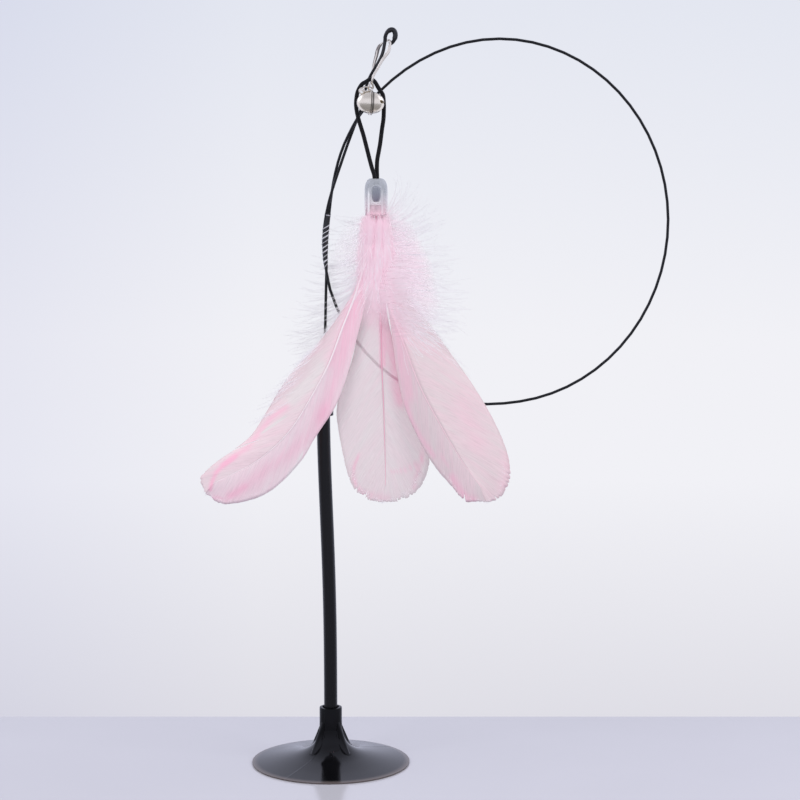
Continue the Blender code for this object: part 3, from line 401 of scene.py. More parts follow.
def makeBraid(name, dark, light, hazy=False):
    # round braided elastic: two sets of threads that cross, drawn 0.5 mm wide so that they show
    material, add, shader = startMaterial(name, {"Roughness": 0.7, "IOR": 1.35, "Sheen Weight": 0.05})
    across, along = add("SeparateXYZ", [add("TexCoord", out="UV")], None)[:2]
    turn = add("Math MULTIPLY", [across, braidSetup["threads"]])
    run = add("Math MULTIPLY", [along, braidSetup["perMillimetre"]])
    waves = []
    for operation in ("ADD", "SUBTRACT"):
        phase = add("Math MULTIPLY", [add("Math " + operation, [turn, run]), 2 * math.pi])
        waves.append(add("Math SINE", [phase]))
    weave = add("Math MAXIMUM", waves)
    level = add("MapRange", {"Value": weave, "From Min": -1})
    colour = add("Mix RGBA", [level, dark, light])
    bump = add("Bump", {"Strength": 0.7, "Distance": 0.0002, "Height": level})
    feed(shader, {"Base Color": colour, "Normal": bump})
    if hazy:
        # a frosted wall in front of it greys it and blurs its outline
        edge = add("LayerWeight", {"Blend": 0.5}, "Facing")
        feed(shader, {"Alpha": add("MapRange", [edge, 0.1, 0.75, 1, 0])})
    return material


# heights on the cap, its middle, and how far its two stripes of painted highlight lie from that
capMarks = {"skirt": (0.2785, 0.2895), "lines": (0.289, 0.2925), "dome": (0.286, 0.294),
            "middle": 0.0232, "aside": 0.0033}


def makeFrosted():
    material, add, shader, place, colour = startFinish("frosted_polyethylene")
    x, y, z = add("SeparateXYZ", [place], None)
    # the pink of the feathers shows through the skirt
    skirt = add("MapRange", [z, *capMarks["skirt"], 1, 0])
    tinted = add("Mix RGBA", [skirt, colour, "#ecd0dc"])
    # painted highlights: two pale upright stripes down the skirt, one of them faint, stand in for where the
    # cap mirrors the lamps
    right = add("Math SUBTRACT", [x, capMarks["middle"]])
    offset = add("Math SUBTRACT", [add("Math ABSOLUTE", [right]), capMarks["aside"]])
    reach = add("Math ABSOLUTE", [offset])
    line = add("MapRange", [reach, 0.0001, 0.0009, 0.7, 0])
    weak = add("MapRange", [right, -0.001, 0.001, 1, 0.45])
    below = add("MapRange", [z, *capMarks["lines"], 1, 0])
    capHighlight = add("Math MULTIPLY", [add("Math MULTIPLY", [line, weak]), below])
    highlighted = add("Mix RGBA", [capHighlight, tinted, "#fafafc"])
    edge = add("LayerWeight", {"Blend": 0.35}, "Facing")
    wall = add("MapRange", [edge, 0, 1, 0.18, 0.62])
    # the closed dome is thicker than the skirt
    dome = add("MapRange", [z, *capMarks["dome"], 0, 0.28])
    total = add("Math ADD", [add("Math ADD", [wall, capHighlight]), dome], use_clamp=True)
    feed(shader, {"Base Color": highlighted, "Alpha": total})
    return material


def makeGlue():
    material, add, shader, place, colour = startFinish("clouded_glue")
    # it thins out upwards, where it ran in between the shafts
    height = add("SeparateXYZ", [place], "Z")
    feed(shader, {"Alpha": add("MapRange", [height, 0.279, 0.285, 0.95, 0])})
    return material


featherColours = {
    "light": "#f0e5e8",     # lilac white of a vane
    "warmShaded": "#dad1d1",      # greyer and warmer: partly a feather's own beige, partly painted shade on vanes the lamps light too brightly
    "pink": "#f8bed4",      # dyed pink at the shafts and along the edges
    "down": "#f0eef3",      # down away from the shafts
    "core": "#f4cfde",      # down at the shafts
    "shaft": "#f0a3be",     # the reddest shaft
}


def makeVaneMaterial():
    # dyed goose feather: barbs laid side by side, thin enough for things behind to show
    material, add, shader = startMaterial("dyed_goose_vane", {
        "Roughness": 0.6, "IOR": 1.45, "Sheen Weight": 0.2, "Specular IOR Level": 0.25,
    })
    pink, cover, toneAndShade = [add("Attribute", out="Fac", attribute_name=name)
                         for name in ("pink", "cover", "toneAndShade")]
    uv = add("TexCoord", out="UV")
    # barbs about 0.4 mm apart run out from the shaft
    drawn = add("Mapping", {"Vector": uv, "Scale": (1, 0.05, 1)})
    fibre = add("TexNoise", {"Vector": drawn, "Scale": 2.4, "Detail": 4, "Roughness": 0.65})
    # dye takes unevenly, in streaks 5 to 10 mm wide
    wide = add("Mapping", {"Vector": uv, "Scale": (0.22, 0.035, 1)})
    patch = add("TexNoise", {"Vector": wide, "Scale": 1, "Detail": 3})
    uneven = add("MapRange", [patch, 0.3, 0.7, -0.1, 0.12])
    dyed = add("Math ADD", [pink, uneven], use_clamp=True)
    pale = add("Mix RGBA", [toneAndShade, featherColours["light"], featherColours["warmShaded"]])
    base = add("Mix RGBA", [dyed, pale, featherColours["pink"]])
    shade = add("MapRange", [fibre, 0.3, 0.7, 0.95, 1.04])
    tinted = add("VectorMath SCALE", {0: base, "Scale": shade})
    gap = add("MapRange", [fibre, 0.3, 0.7, 0.92, 1.08])
    opacity = add("Math MULTIPLY", [gap, cover], use_clamp=True)
    bump = add("Bump", {"Strength": 0.3, "Distance": 0.0001, "Height": fibre})
    feed(shader, {"Base Color": tinted, "Alpha": opacity, "Normal": bump})
    return material


def makeDownMaterial():
    # feather down: pink where it leaves the shaft, white and thin at the ends
    material, add, shader = startMaterial("feather_down", {
        "Roughness": 0.8, "IOR": 1.45, "Sheen Weight": 0.3, "Specular IOR Level": 0.15,
    })
    fade, dye = [add("Attribute", out="Fac", attribute_name=name) for name in ("fade", "dye")]
    left = add("MapRange", [fade, 0.05, 0.75, 1, 0])
    amount = add("Math MULTIPLY", [left, dye])
    colour = add("Mix RGBA", [amount, featherColours["down"], featherColours["core"]])
    feed(shader, {"Base Color": colour})
    return material


def makeSoftDown(look):
    # down too fine to draw barb by barb: a soft body with streaks, clear at its outline
    material, add, shader = startMaterial(look["material"], {
        "Roughness": 0.85, "IOR": 1.45, "Sheen Weight": 0.2, "Specular IOR Level": 0.1,
    })
    coordinates = add("TexCoord", out=None)
    drawn = add("Mapping", {"Vector": coordinates["Object"], "Scale": look["stretch"]})
    streak = add("TexNoise", {
        "Vector": drawn, "Scale": look["scale"], "Detail": 4, "Roughness": 0.6,
    })
    sharp = add("MapRange", [streak, 0.34, 0.66])
    # around runs round the body and is 0 and 0.5 at its sides, down runs down it from 0 to 1
    around, down = add("SeparateXYZ", [coordinates["UV"]], None)[:2]
    dyed = add("MapRange", [down, 0.05, 0.36, look["washed"], 1])
    colour = add("Mix RGBA", [add("Math MULTIPLY", [sharp, dyed]), look["pink"], look["pale"]])
    angle = add("Math MULTIPLY", [around, 2 * math.pi])
    size = add("Math ABSOLUTE", [add("Math SINE", [angle])])
    cover = add("MapRange", [size, look["soft"], 1, 0, look["most"]],
                    interpolation_type="SMOOTHSTEP")
    # its two ends are uneven, as hairs of unlike length make them
    uneven = look["ragged"]
    ragged = add("MapRange", [streak, 0.3, 0.7, -uneven, uneven])
    along = add("Math ADD", [down, ragged])
    facing = add("LayerWeight", {"Blend": 0.5}, "Facing")
    # it is clear at its outline, at both ends and between the streaks
    limits = ((facing, 0.95, 0.5), (along, uneven, look["top"] + uneven),
              (along, look["end"], look["end"] - 0.4), (streak, 0.15, 0.5))
    for limit in limits:
        cover = add("Math MULTIPLY", [cover, add("MapRange", limit)])
    bump = add("Bump", {"Strength": 0.2, "Distance": 0.0002, "Height": streak})
    feed(shader, {"Base Color": colour, "Alpha": cover, "Normal": bump})
    return material


def makeShaftMaterial():
    material, add, shader, place, pale = startFinish("feather_shaft_horn")
    red = add("Attribute", out="Fac", attribute_name="red")
    colour = add("Mix RGBA", [red, pale, featherColours["shaft"]])
    feed(shader, {"Base Color": colour})
    return material


# elastic loop, from the cap up round the snap and back

cordSetup = {"radius": 1.05 * mm, "sides": 20}
cordRoute = [(22.92, -9.62, 293.5), (22.64, -9.42, 297.8), (21.47, -8.88, 301.54), (20.37, -8.02, 305.52),
             (19.37, -7.3, 309.46), (18.37, -6.61, 313.35), (17.37, -6, 317.19), (16.17, -5.5, 321.08),
             (14.97, -4.99, 325.01), (14.07, -4.7, 328.95), (13.67, -4.6, 332.84), (14.07, -4.88, 336.77),
             (14.58, -5.06, 338.69), (15.47, -5.28, 340.56), (16.77, -5.64, 342.29), (18.67, -6, 343.4),
             (20.87, -6, 344.6), (22.87, -4.99, 343.35), (24.57, -4.92, 340.56), (25.78, -4.85, 338.69),
             (26.87, -4.7, 336.77), (27.27, -4.6, 332.84), (27.27, -4.7, 328.95), (27.07, -4.99, 325.01),
             (26.48, -5.32, 321.08), (25.97, -5.6, 317.19), (25.47, -6, 313.35), (24.78, -6.29, 309.46),
             (24.07, -6.68, 305.52), (23.86, -7.12, 301.54), (23.93, -7.33, 297.8), (24.02, -7.38, 293.5)]


def makeElasticLoop(material):
    smooth = smoothTable(cordRoute, 4)
    data = tubeMesh(smooth, [cordSetup["radius"]] * len(smooth), cordSetup["sides"])
    piece = meshPiece("elastic_loop", data, material, "lure", "black_elastic", "elastic_cord")


# suction cup, in millimetres

cupSetup = {
    "radius": 40, "edge": 0.75, "crown": 18, "socketRadius": 5.7, "socketTop": 28.9,
    "bore": 3.55, "mouth": 4.15, "mouthDepth": 5, "mouthTaper": 0.6, "socketFloor": 7,
    "hollowOuter": 33, "hollowInner": 8, "hollowDepth": 1.4, "steps": 144,
    "ribReach": 13.6, "ribFoot": 6.2, "ribTop": 22.4, "ribThickness": 1.6, "ribTaper": 0.25,
    "ribSink": 0.8, "ribOverlap": 0.3, "ribLeast": 0.9, "ribBow": 0.92, "ribFillet": 1.1,
    "ribEdge": 0.25, "ribSteps": 14,
}
# how the socket's mouth, its outer lip and the rim round over: out and up from the sharp corner
mouthRound = [(0, -0.35), (0.1, -0.1), (0.35, 0)]
lipRound = [(-0.5, 0), (-0.15, -0.12), (0, -0.5)]
rimRound = [(0, 0.45), (-0.15, 0.12), (-0.4, 0)]
# out from the socket and up from the rim, as shares
discShares = [(1, 0), (0.825, 0.053), (0.65, 0.112), (0.475, 0.182), (0.33, 0.253), (0.213, 0.341),
              (0.125, 0.453), (0.067, 0.588), (0.026, 0.765), (0, 1)]
hollowShares = [(1, 0), (0.76, 0.7), (0.4, 1), (0.1, 1), (0, 0)]


def makeCup(material):
    s = cupSetup
    radius, bore, mouth, outer, top = [s[key] for key in (
        "radius", "bore", "mouth", "socketRadius", "socketTop")]
    rise = s["crown"] - s["edge"]
    disc = [Vector((outer + (radius - outer) * out, 0, s["edge"] + rise * up)) for out, up in discShares]
    disc = smoothRoute(disc, 5)
    floorHeight = s["socketFloor"]
    shoulder = top - s["mouthDepth"]
    profile = [(0, floorHeight), (bore, floorHeight), (bore, shoulder),
               (mouth, shoulder + s["mouthTaper"])]
    profile += [(mouth + out, top + up) for out, up in mouthRound]
    profile += [(outer + out, top + up) for out, up in lipRound]
    profile += [(point.x, point.z) for point in reversed(disc)]
    profile += [(radius + out, up) for out, up in rimRound]
    width = s["hollowOuter"] - s["hollowInner"]
    profile += [(s["hollowInner"] + width * out, s["hollowDepth"] * up) for out, up in hollowShares]
    profile.append((0, 0))
    # all of it is turned round the upright axis
    shape = bmesh.new()
    rings = []
    for radius, height in [(r * mm, h * mm) for r, h in profile]:
        angles = [2 * math.pi * step / s["steps"] for step in range(s["steps"] if radius else 1)]
        rings.append([shape.verts.new((radius * math.cos(angle), radius * math.sin(angle), height))
                      for angle in angles])
    skinRings(shape, rings)
    bmesh.ops.recalc_face_normals(shape, faces=shape.faces)
    softenByAngle(shape, 34)
    meshPiece("cup_body", meshFrom(shape), material, "base", "soft_vinyl", "suction_cup")
    makeRibs(material)


def discHeight(radius):
    s = cupSetup
    share = (radius - s["socketRadius"]) / (s["radius"] - s["socketRadius"])
    return s["edge"] + (s["crown"] - s["edge"]) * blendTable(sorted(discShares), share)


def makeRibs(material):
    # four webs between the socket and the disc, with a fillet where they leave the disc
    s = cupSetup
    shape = bmesh.new()
    runs = s["ribSteps"]
    inner = s["socketRadius"] - s["ribOverlap"]
    reach = s["ribReach"] - s["socketRadius"] + 2 * s["ribOverlap"]
    for quarter in range(4):
        angle = math.pi / 4 + quarter * math.pi / 2
        out = Vector((math.cos(angle), math.sin(angle), 0))
        across = Vector((-out.y, out.x, 0))
        rings = []
        for k in range(runs + 1):
            t = k / runs
            radius = inner + reach * t
            low = discHeight(radius) - s["ribSink"]
            top = s["ribTop"] + (s["ribFoot"] - s["ribTop"]) * t ** s["ribBow"]
            top = max(top, low + s["ribLeast"])
            half = s["ribThickness"] / 2 * (1 - s["ribTaper"] * t)
            flank = [(half + s["ribFillet"], low), (half + 0.25, low + s["ribFillet"]),
                     (half, max(top - s["ribEdge"], low + 0.7)), (half - s["ribEdge"], top)]
            outline = [(-aside, height) for aside, height in flank] + flank[::-1]
            rings.append([shape.verts.new((out * radius + across * aside + Vector((0, 0, height))) * mm)
                          for aside, height in outline])
        skinRings(shape, rings)
    bmesh.ops.recalc_face_normals(shape, faces=shape.faces)
    softenByAngle(shape, 50)
    meshPiece("cup_ribs", meshFrom(shape), material, "base", "soft_vinyl")


# snap: flattened parts of the hook and the gate

bladeSetup = {
    "hook_blade": {
        "body": "snap", "wide": 0.86, "flat": 0.55,
        "route": [(30.3, -2.3, 361.3), (30.1, -2.5, 360.3), (29.8, -2.8, 358.9), (29.2, -3.1, 357.5),
                  (28.1, -3.6, 356), (26.8, -4.2, 354.2), (25.5, -5, 352), (24.2, -6, 349.6),
                  (23.1, -7.1, 347.8), (22.4, -7.9, 346.4)],
        "swell": [(0, 0.62), (0.12, 0.95), (0.3, 1), (0.6, 0.8), (1, 0.6)],
    },
    "gate_blade": {
        "body": "gate", "wide": 0.95, "flat": 0.4,
        "route": [(26.2, 1.9, 361.6), (25.2, 1.9, 360.9), (24.5, 1.9, 359.6), (24, 1.9, 358),
                  (23.6, 1.8, 356.2), (23.1, 1.6, 354.4), (22.6, 1.5, 352.6), (22.1, 1.5, 350.4),
                  (21.8, 1.5, 348.6)],
        "swell": [(0, 0.5), (0.12, 0.85), (0.4, 1), (0.65, 0.85), (1, 0.55)],
    },
}


def makeBlade(name, material):
    s = bladeSetup[name]
    points = smoothTable(s["route"], 4)
    radii = [s["wide"] * mm * swell for swell in sampled(s["swell"], len(points) - 1)]
    data = tubeMesh(points, radii, 20, s["flat"], depthAxis)
    meshPiece(name, data, material, s["body"], "plated_steel")


# the bell's shells are turned about their own middle, so that the seam stands upright
bellSetup = {"madeAxis": (-0.58, -0.25, 0.77), "seenAxis": (-0.97, -0.08, 0.06),
             "along": 1.25, "across": 0.92, "spin": 25, "forward": 1.6 * mm}


def bellShift():
    s = bellSetup
    corners = [vert.co for node in ("bell_upper_shell", "bell_lower_shell")
               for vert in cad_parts[node].data.vertices]
    middle = Vector([(min(c[k] for c in corners) + max(c[k] for c in corners)) / 2
                     for k in range(3)])
    made = Vector(s["madeAxis"]).normalized()
    seen = Vector(s["seenAxis"]).normalized()
    size = Matrix.Scale(s["across"], 4) @ Matrix.Scale(s["along"] / s["across"], 4, made)
    turn = made.rotation_difference(seen).to_matrix().to_4x4()
    spin = Matrix.Rotation(math.radians(s["spin"]), 4, seen)
    # a little to the front, so that the cord can swing past
    seat = middle - Vector((0, s["forward"], 0))
    shift = Matrix.Translation(seat) @ spin @ turn @ size @ Matrix.Translation(-middle)
    return (seat, seen), shift, Matrix.Translation(seat - middle)


# eye sleeve and binding on the wand, in millimetres

eyeRoute = [(23.6, 0, 351.2), (25.6, 0, 354.7), (26.9, 0, 358.1), (27.5, 0, 361.1), (27.9, 0, 363.8),
            (28, 0, 365.1), (28.3, 0, 366.3), (28.9, 0, 367.4), (29.8, 0, 368.2), (30.7, 0, 368.6),
            (31.6, 0, 368.6), (32.3, 0, 368.1), (32.7, 0, 367.4), (32.9, 0, 366.3), (32.8, 0, 365.1),
            (32.4, 0, 363.9)]
eyeSwell = [(0, 0.7), (0.05, 0.84), (0.42, 0.88), (0.55, 1.26), (0.97, 1.26), (1, 1)]
bindingSetup = {"film": 0.1, "steps": 60, "turns": 9, "turnSteps": 28, "wound": 0.78, "edge": 0.34,
                "edgeFlat": 0.4, "edgeRise": 1.3, "edgeLift": 0.04, "cuff": (0.955, 0.975),
                "cuffRadius": 1.62, "cuffFlat": 0.82}
pairRoute = [(-1.35, 0, 251.6), (-1.75, 0, 255.3), (-1.9, 0, 260.4), (-1.85, 0, 265.4), (-1.5, 0, 270.4),
             (-0.98, 0, 275.3), (-0.45, 0, 279)]
pairHalf = [(0, 0.72), (0.13, 1.05), (0.3, 1.25), (0.5, 1.45), (0.7, 1.5), (1, 1.4)]
pairDepth = [(0, 1.2), (0.13, 1.5), (0.5, 1.5), (0.75, 1.2), (1, 1.1)]


def makeEyeSleeve(material):
    points = smoothTable(eyeRoute, 4)
    data = tubeMesh(points, [mm * swell for swell in sampled(eyeSwell, len(points) - 1)], 20)
    meshPiece("eye_sleeve", data, material, "wand", "black_tape")


def makeBinding(film, highlightLook, cuffLook):
    # black film wound round both wires, with a light strip along its edge on every turn as a painted
    # highlight
    s = bindingSetup
    route = Route(smoothTable(pairRoute, 6))
    count = s["steps"]
    halves = [half + s["film"] for half in sampled(pairHalf, count)]
    flats = [(depth + s["film"]) / half for depth, half in zip(sampled(pairDepth, count), halves)]
    data = tubeMesh(route.even(count), [half * mm for half in halves], 24, flats, depthAxis)
    meshPiece("film_sleeve", data, film, "wand", "black_tape")
    winding = []
    for k in range(s["turns"] * s["turnSteps"] + 1):
        turn = k / s["turnSteps"]
        whole = math.floor(turn)
        part = turn - whole
        # the front half of a turn climbs more than the back half
        front = s["edgeRise"] * min(part * 2, 1) + (1 - s["edgeRise"]) * max(part * 2 - 1, 0)
        share = (whole + front) / s["turns"] * s["wound"]
        half, depth = [(blendTable(table, share) + s["film"] + s["edgeLift"]) * mm
                       for table in (pairHalf, pairDepth)]
        angle = 2 * math.pi * turn
        winding.append(route.at(share) + Vector((-math.cos(angle) * half, -math.sin(angle) * depth, 0)))
    data = tubeMesh(winding, [s["edge"] * mm] * len(winding), 8, s["edgeFlat"])
    meshPiece("film_edge_highlight", data, highlightLook, "wand", "black_tape", "binding_wrap")
    # a single pale turn closes it at the top
    ends = [route.at(share) for share in s["cuff"]]
    data = tubeMesh(ends, [s["cuffRadius"] * mm] * 2, 32, s["cuffFlat"], depthAxis)
    meshPiece("wound_cuff", data, cuffLook, "wand", "black_tape", "tape_cuff")


# feathers: routes and outlines in millimetres, (x, z) on the vane, with y from the depth table
# A mark is a brushed spot of dye: width, strength, route; below zero it is paler. A split has its
# side, its share of the edge, where on the barb it starts, and how far it opens.

leftFeather = {
    "name": "feather_left", "seed": 11, "red": 0, "shaftRadius": 0.42, "cover": 1,
    "shaft": [(21.9, 283), (21.7, 277.5), (20, 265), (16.8, 251), (12.6, 237.8), (6.7, 222.9), (0.2, 205.8),
              (-8.4, 189.7), (-17, 175.7), (-25.6, 165.9), (-36.4, 157.3), (-47.1, 151.8), (-57, 146.8)],
    "depth": [(0, -9.5), (0.1, -10), (0.3, -11.5), (0.55, -15.5), (0.8, -18.5), (1, -19.5)],
    "outer": [(18.3, 262), (14.9, 250), (11.5, 238), (7.4, 228.5), (-1.9, 218.2), (-10.4, 209.1),
              (-18.9, 200.5), (-25.4, 190.9), (-31.8, 180.1), (-38.3, 170.3), (-45.9, 163.9),
              (-52.3, 159.6), (-58.8, 154.7), (-63.4, 149.8), (-62.8, 145.6), (-61, 141.8)],
    "inner": [(20.6, 262), (19.8, 245), (17.3, 231.5), (14.1, 218.7), (10.4, 203.8), (6.6, 192),
              (2.3, 182.3), (-4.2, 172.6), (-8.4, 166.1), (-12.8, 158.5), (-21.4, 148.7), (-31.1, 141.1),
              (-41.8, 137.3), (-53.6, 136.4), (-61, 141.8)],
    "vaneStart": 0.12, "pink": 0.24, "wisps": 130, "airy": (-1, 0.9, 0.68), "toneAndShade": (0.5, 0),
    "ragged": [(0, 0.6), (0.45, 0.35), (0.55, 0.15), (0.85, 0.3), (0.95, 1.3), (1, 1.5)],
    "splits": [(-1, 0.8, 0.55, 0.9), (-1, 0.36, 0.75, 1)], "fadeIn": 0.14, "fringe": 40,
    "marks": [
        (3.6, 0.36, [(17.4, 249.2), (14, 233.4), (10.6, 217.6), (4.9, 202.8), (0.3, 189.1), (-3.1, 178.8)]),
        (3, 0.3, [(10.6, 233.4), (6.1, 217.6), (1.5, 206.2)]),
        (1.4, 0.42, [(-20.6, 184.4), (-28.2, 179.1), (-34.8, 171.5), (-39.6, 164.8), (-46.3, 160.5),
            (-51.5, 156.2)]),
        (1, 0.75, [(-46.3, 160), (-51.5, 156.2), (-55.1, 152.8), (-57.3, 148.5), (-58.5, 143.7)]),
        (3.4, 0.28, [(-3.1, 182.5), (-7, 172.9), (-12.7, 167.2), (-18.8, 161.5), (-26.9, 156.2),
            (-35.5, 150), (-42.6, 144.2), (-48.4, 140.8)]),
        (1.8, 0.35, [(-41.7, 145.1), (-46.5, 141.3), (-49.3, 140.3)]),
        (1, 0.35, [(-59.3, 139.9), (-54.1, 139.4), (-50.8, 138)]),
        (0.35, -0.9, [(-13.2, 160), (-17, 153.8), (-20.8, 148.5), (-24.6, 145.1)]),
        (0.4, -0.6, [(-21.6, 179.6), (-29.1, 174.4), (-32.9, 171.5)]),
        (3.5, -0.3, [(-18, 188), (-10, 196), (-4, 205)]),
    ],
}
middleFeather = {
    "name": "feather_middle", "seed": 23, "red": 0.8, "shaftRadius": 0.34, "cover": 0.55,
    "shaft": [(23.5, 283), (23.5, 277.5), (24.2, 262), (25.1, 245), (25.7, 231.7), (25.9, 217.7),
              (26.2, 203.7), (27.1, 183.1), (27.9, 154.8), (27.9, 144)],
    "depth": [(0, -6.7), (0.1, -6.8), (0.5, -7.4), (1, -8)],
    "outer": [(23, 262), (18, 240), (13.9, 217.7), (10.2, 202.6), (5.3, 190.7), (3.6, 180.9), (4.4, 172.2),
              (6.3, 161.3), (8.4, 151.5), (11.1, 143.8), (14.8, 138.9), (20.2, 135.9), (27, 135.3)],
    "inner": [(24.8, 262), (26.2, 245), (28.4, 230.6), (34.3, 204.7), (39.7, 183.1), (47.2, 166.8),
              (49.9, 157), (48.8, 150.4), (46.7, 144.9), (42.9, 140), (37.5, 136.7), (31, 135.5),
              (27, 135.3)],
    "vaneStart": 0.16, "pink": 0.12, "wisps": 0, "airy": (0, 0, 1), "toneAndShade": (0.3, 0.3),
    "ragged": [(0, 0.6), (0.4, 0.2), (0.7, 0.15), (0.82, 0.6), (0.9, 2), (1, 2.2)],
    "splits": [(-1, 0.93, 0.86, 0.7), (1, 0.95, 0.88, 0.6)], "fadeIn": 0.14, "fringe": 90,
    "marks": [
        (1.3, 1.2, [(25.8, 235.4), (26.4, 224.4), (26.9, 213), (26.6, 204.8)]),
        (3, 0.8, [(28.6, 236), (29.6, 226.4), (31, 212.8), (32.8, 200), (35, 186)]),
        (4, 0.3, [(22, 240), (21, 226)]),
        (0.8, 0.65, [(14.7, 159), (12.3, 153.4), (11.9, 148.4), (13.5, 143.4), (16.5, 139.6)]),
        (0.9, 0.45, [(46.4, 162.7), (46.1, 157.7), (44.9, 153.4), (43.6, 148.4), (41.8, 142.7)]),
        (0.8, 0.45, [(31.3, 150.9), (37.5, 151.5), (43, 154), (46.1, 157.7)]),
        (2.2, 0.3, [(17.8, 139.4), (22.8, 138.4), (28.4, 137.7)]),
    ],
}
rightFeather = {
    "name": "feather_right", "seed": 37, "red": 0.35, "shaftRadius": 0.3, "cover": 1,
    "shaft": [(25.1, 283), (25.3, 277.5), (26.5, 262), (28.3, 246), (30.6, 232.5), (37.5, 214.3),
              (44.9, 195), (54.6, 176.7), (64.2, 160.5), (71.2, 150.7), (75.2, 145.1)],
    "depth": [(0, -9.5), (0.1, -10), (0.3, -11), (0.55, -15), (0.8, -18.5), (1, -20.5)],
    "outer": [(26, 262), (28, 243), (30.2, 227.2), (32.2, 211.1), (34.8, 195), (38.6, 181), (46.1, 164.8),
              (50.3, 157.8), (54.6, 151.8), (60.2, 145.6), (66, 138.7), (70, 137.5), (77.5, 137.6)],
    "inner": [(27.6, 262), (31.6, 252), (38.3, 240.8), (49.2, 226), (59.8, 211.1), (70.5, 196.1),
              (80.3, 180), (87.3, 164.8), (89.8, 153.8), (89, 146.3), (86.3, 141), (82, 138.2),
              (77.5, 137.6)],
    "vaneStart": 0.16, "pink": 0.2, "wisps": 60, "airy": (1, 0.92, 0.5), "toneAndShade": (0.8, 0.9),
    "ragged": [(0, 1.2), (0.35, 0.5), (0.5, 0.15), (0.82, 0.3), (0.9, 1.6), (1, 2)],
    "splits": [(-1, 0.93, 0.84, 1), (1, 0.96, 0.86, 0.6)], "fadeIn": 0.34, "fringe": 70,
    "marks": [
        (3.4, 0.4, [(30, 243.4), (34.4, 219.6), (36.7, 204.8), (39.5, 190)]),
        (1.4, 0.42, [(38, 186), (40.4, 178.2), (44.2, 170.8), (48, 165.2), (52, 160.2)]),
        (2, 0.45, [(60.9, 149.6), (64.6, 143.4), (68.3, 139.6), (71.2, 138.7)]),
        (3.2, 0.22, [(88.1, 159.6), (88.7, 151.5), (85.8, 144.4)]),
        (0.9, 0.25, [(55.9, 160.2), (59, 155.2)]),
        (5, 0.16, [(74, 168), (66, 186)]),
    ],
}
vaneSetup = {"barbs": 430, "segments": 14, "lead": 0.21, "bow": 0.07, "camber": 1.4, "roll": 1,
             "ripple": 0.22, "uneven": 0.22, "fullWidth": 14, "splitReach": 0.07, "splitFade": 0.022,
             "thick": 0.1, "quillCover": 0.25, "airyFade": 0.25, "airyCurve": 1.5, "sideShift": 200}
# thickness along a shaft
shaftTaper = [(0, 2), (0.12, 1.5), (0.3, 1.1), (0.6, 0.7), (1, 0.3)]


def brushedPink(feather, spots):
    # spots is an array of (x, z) in millimetres
    total = np.full(len(spots), feather["pink"])
    for width, strength, marked in feather["marks"]:
        nearest = np.full(len(spots), 1e9)
        for first, second in zip(marked, marked[1:]):
            a = np.array(first)
            run = np.array(second) - a
            share = np.clip((spots - a) @ run / (run @ run), 0, 1)
            away = spots - a - share[:, None] * run
            nearest = np.minimum(nearest, np.hypot(away[:, 0], away[:, 1]))
        total += strength * np.exp(-(nearest / width) ** 2)
    return total


def addAttribute(data, name, values):
    data.attributes.new(name, "FLOAT", "POINT").data.foreach_set("value", values)


def shaftRoute(feather):
    flat = smoothRoute([Vector((x, 0, z)) for x, z in feather["shaft"]], 6)
    level = Route(flat)
    return Route([Vector((point.x, blendTable(feather["depth"], length / level.total), point.z)) * mm
                  for point, length in zip(flat, level.lengths)])


def makeShaft(feather, material):
    route = shaftRoute(feather)
    count = 90
    radii = [size * feather["shaftRadius"] * mm for size in sampled(shaftTaper, count)]
    data = tubeMesh(route.even(count), radii, 10)
    addAttribute(data, "red", [feather["red"]] * len(data.vertices))
    meshPiece(feather["name"] + "_shaft", data, material, "lure", "pink_feather")


def vaneBarbs(feather, side):
    # one row of points for each barb, from the shaft to the edge
    s = vaneSetup
    route = shaftRoute(feather)
    edge = feather["outer" if side < 0 else "inner"]
    edge = Route(smoothTable([(x, 0, z) for x, z in edge], 5))
    count = s["barbs"]
    start = feather["vaneStart"]
    seed = feather["seed"] + side * 0.37
    splits = [split[1:] for split in feather["splits"] if split[0] == side]
    rows = []
    for k in range(count):
        t = k / (count - 1)
        root = start + (1 - start) * (t - s["lead"] * math.sin(math.pi * t))
        base = route.at(root)
        heading = route.heading(root)
        tip = edge.at(t)
        tip.y = base.y
        reach = tip - base
        # the edge is uneven from barb to barb, and ragged in tufts of about 9 barbs and of about 3
        fine = abs(noise.noise(Vector((t * 210, seed, 0.5)))) * s["uneven"]
        coarse = 0.6 * max(0, noise.noise(Vector((t * 46, seed, 4.5))) + 0.12)
        coarse += max(0, noise.noise(Vector((t * 150, seed, 7.5))))
        reach -= reach.normalized() * (fine + coarse * blendTable(feather["ragged"], t)) * mm
        # a barb bows towards the quill, and rolls out of the plane where the vane is wide
        bow = -heading * (s["bow"] * reach.length)
        roll = noise.noise(Vector((t * 3.2, seed, 9.5))) * s["roll"] * mm
        wide = min(reach.length / (s["fullWidth"] * mm), 1)
        row = []
        for j in range(s["segments"] + 1):
            w = j / s["segments"]
            point = base + reach * w + bow * (4 * w * (1 - w)) * 0.5
            point.y += (s["camber"] * mm * w * w + roll * w) * wide
            point.y += noise.noise(Vector((t * 20, w * 1.6, seed))) * s["ripple"] * mm * w
            # the barbs beside a split are spread along the shaft
            for at, opening, gap in splits:
                if w > opening and abs(t - at) < s["splitReach"]:
                    away = 1 if t > at else -1
                    fade = math.exp(-abs(t - at) / s["splitFade"])
                    point += heading * (away * fade * gap * 0.5 * mm * (w - opening) / (1 - opening))
            row.append(point)
        rows.append(row)
    # past a split the next barb has its own points
    cuts = {int(at * (count - 1)): opening for at, opening, gap in splits}
    return rows, cuts, edge.total


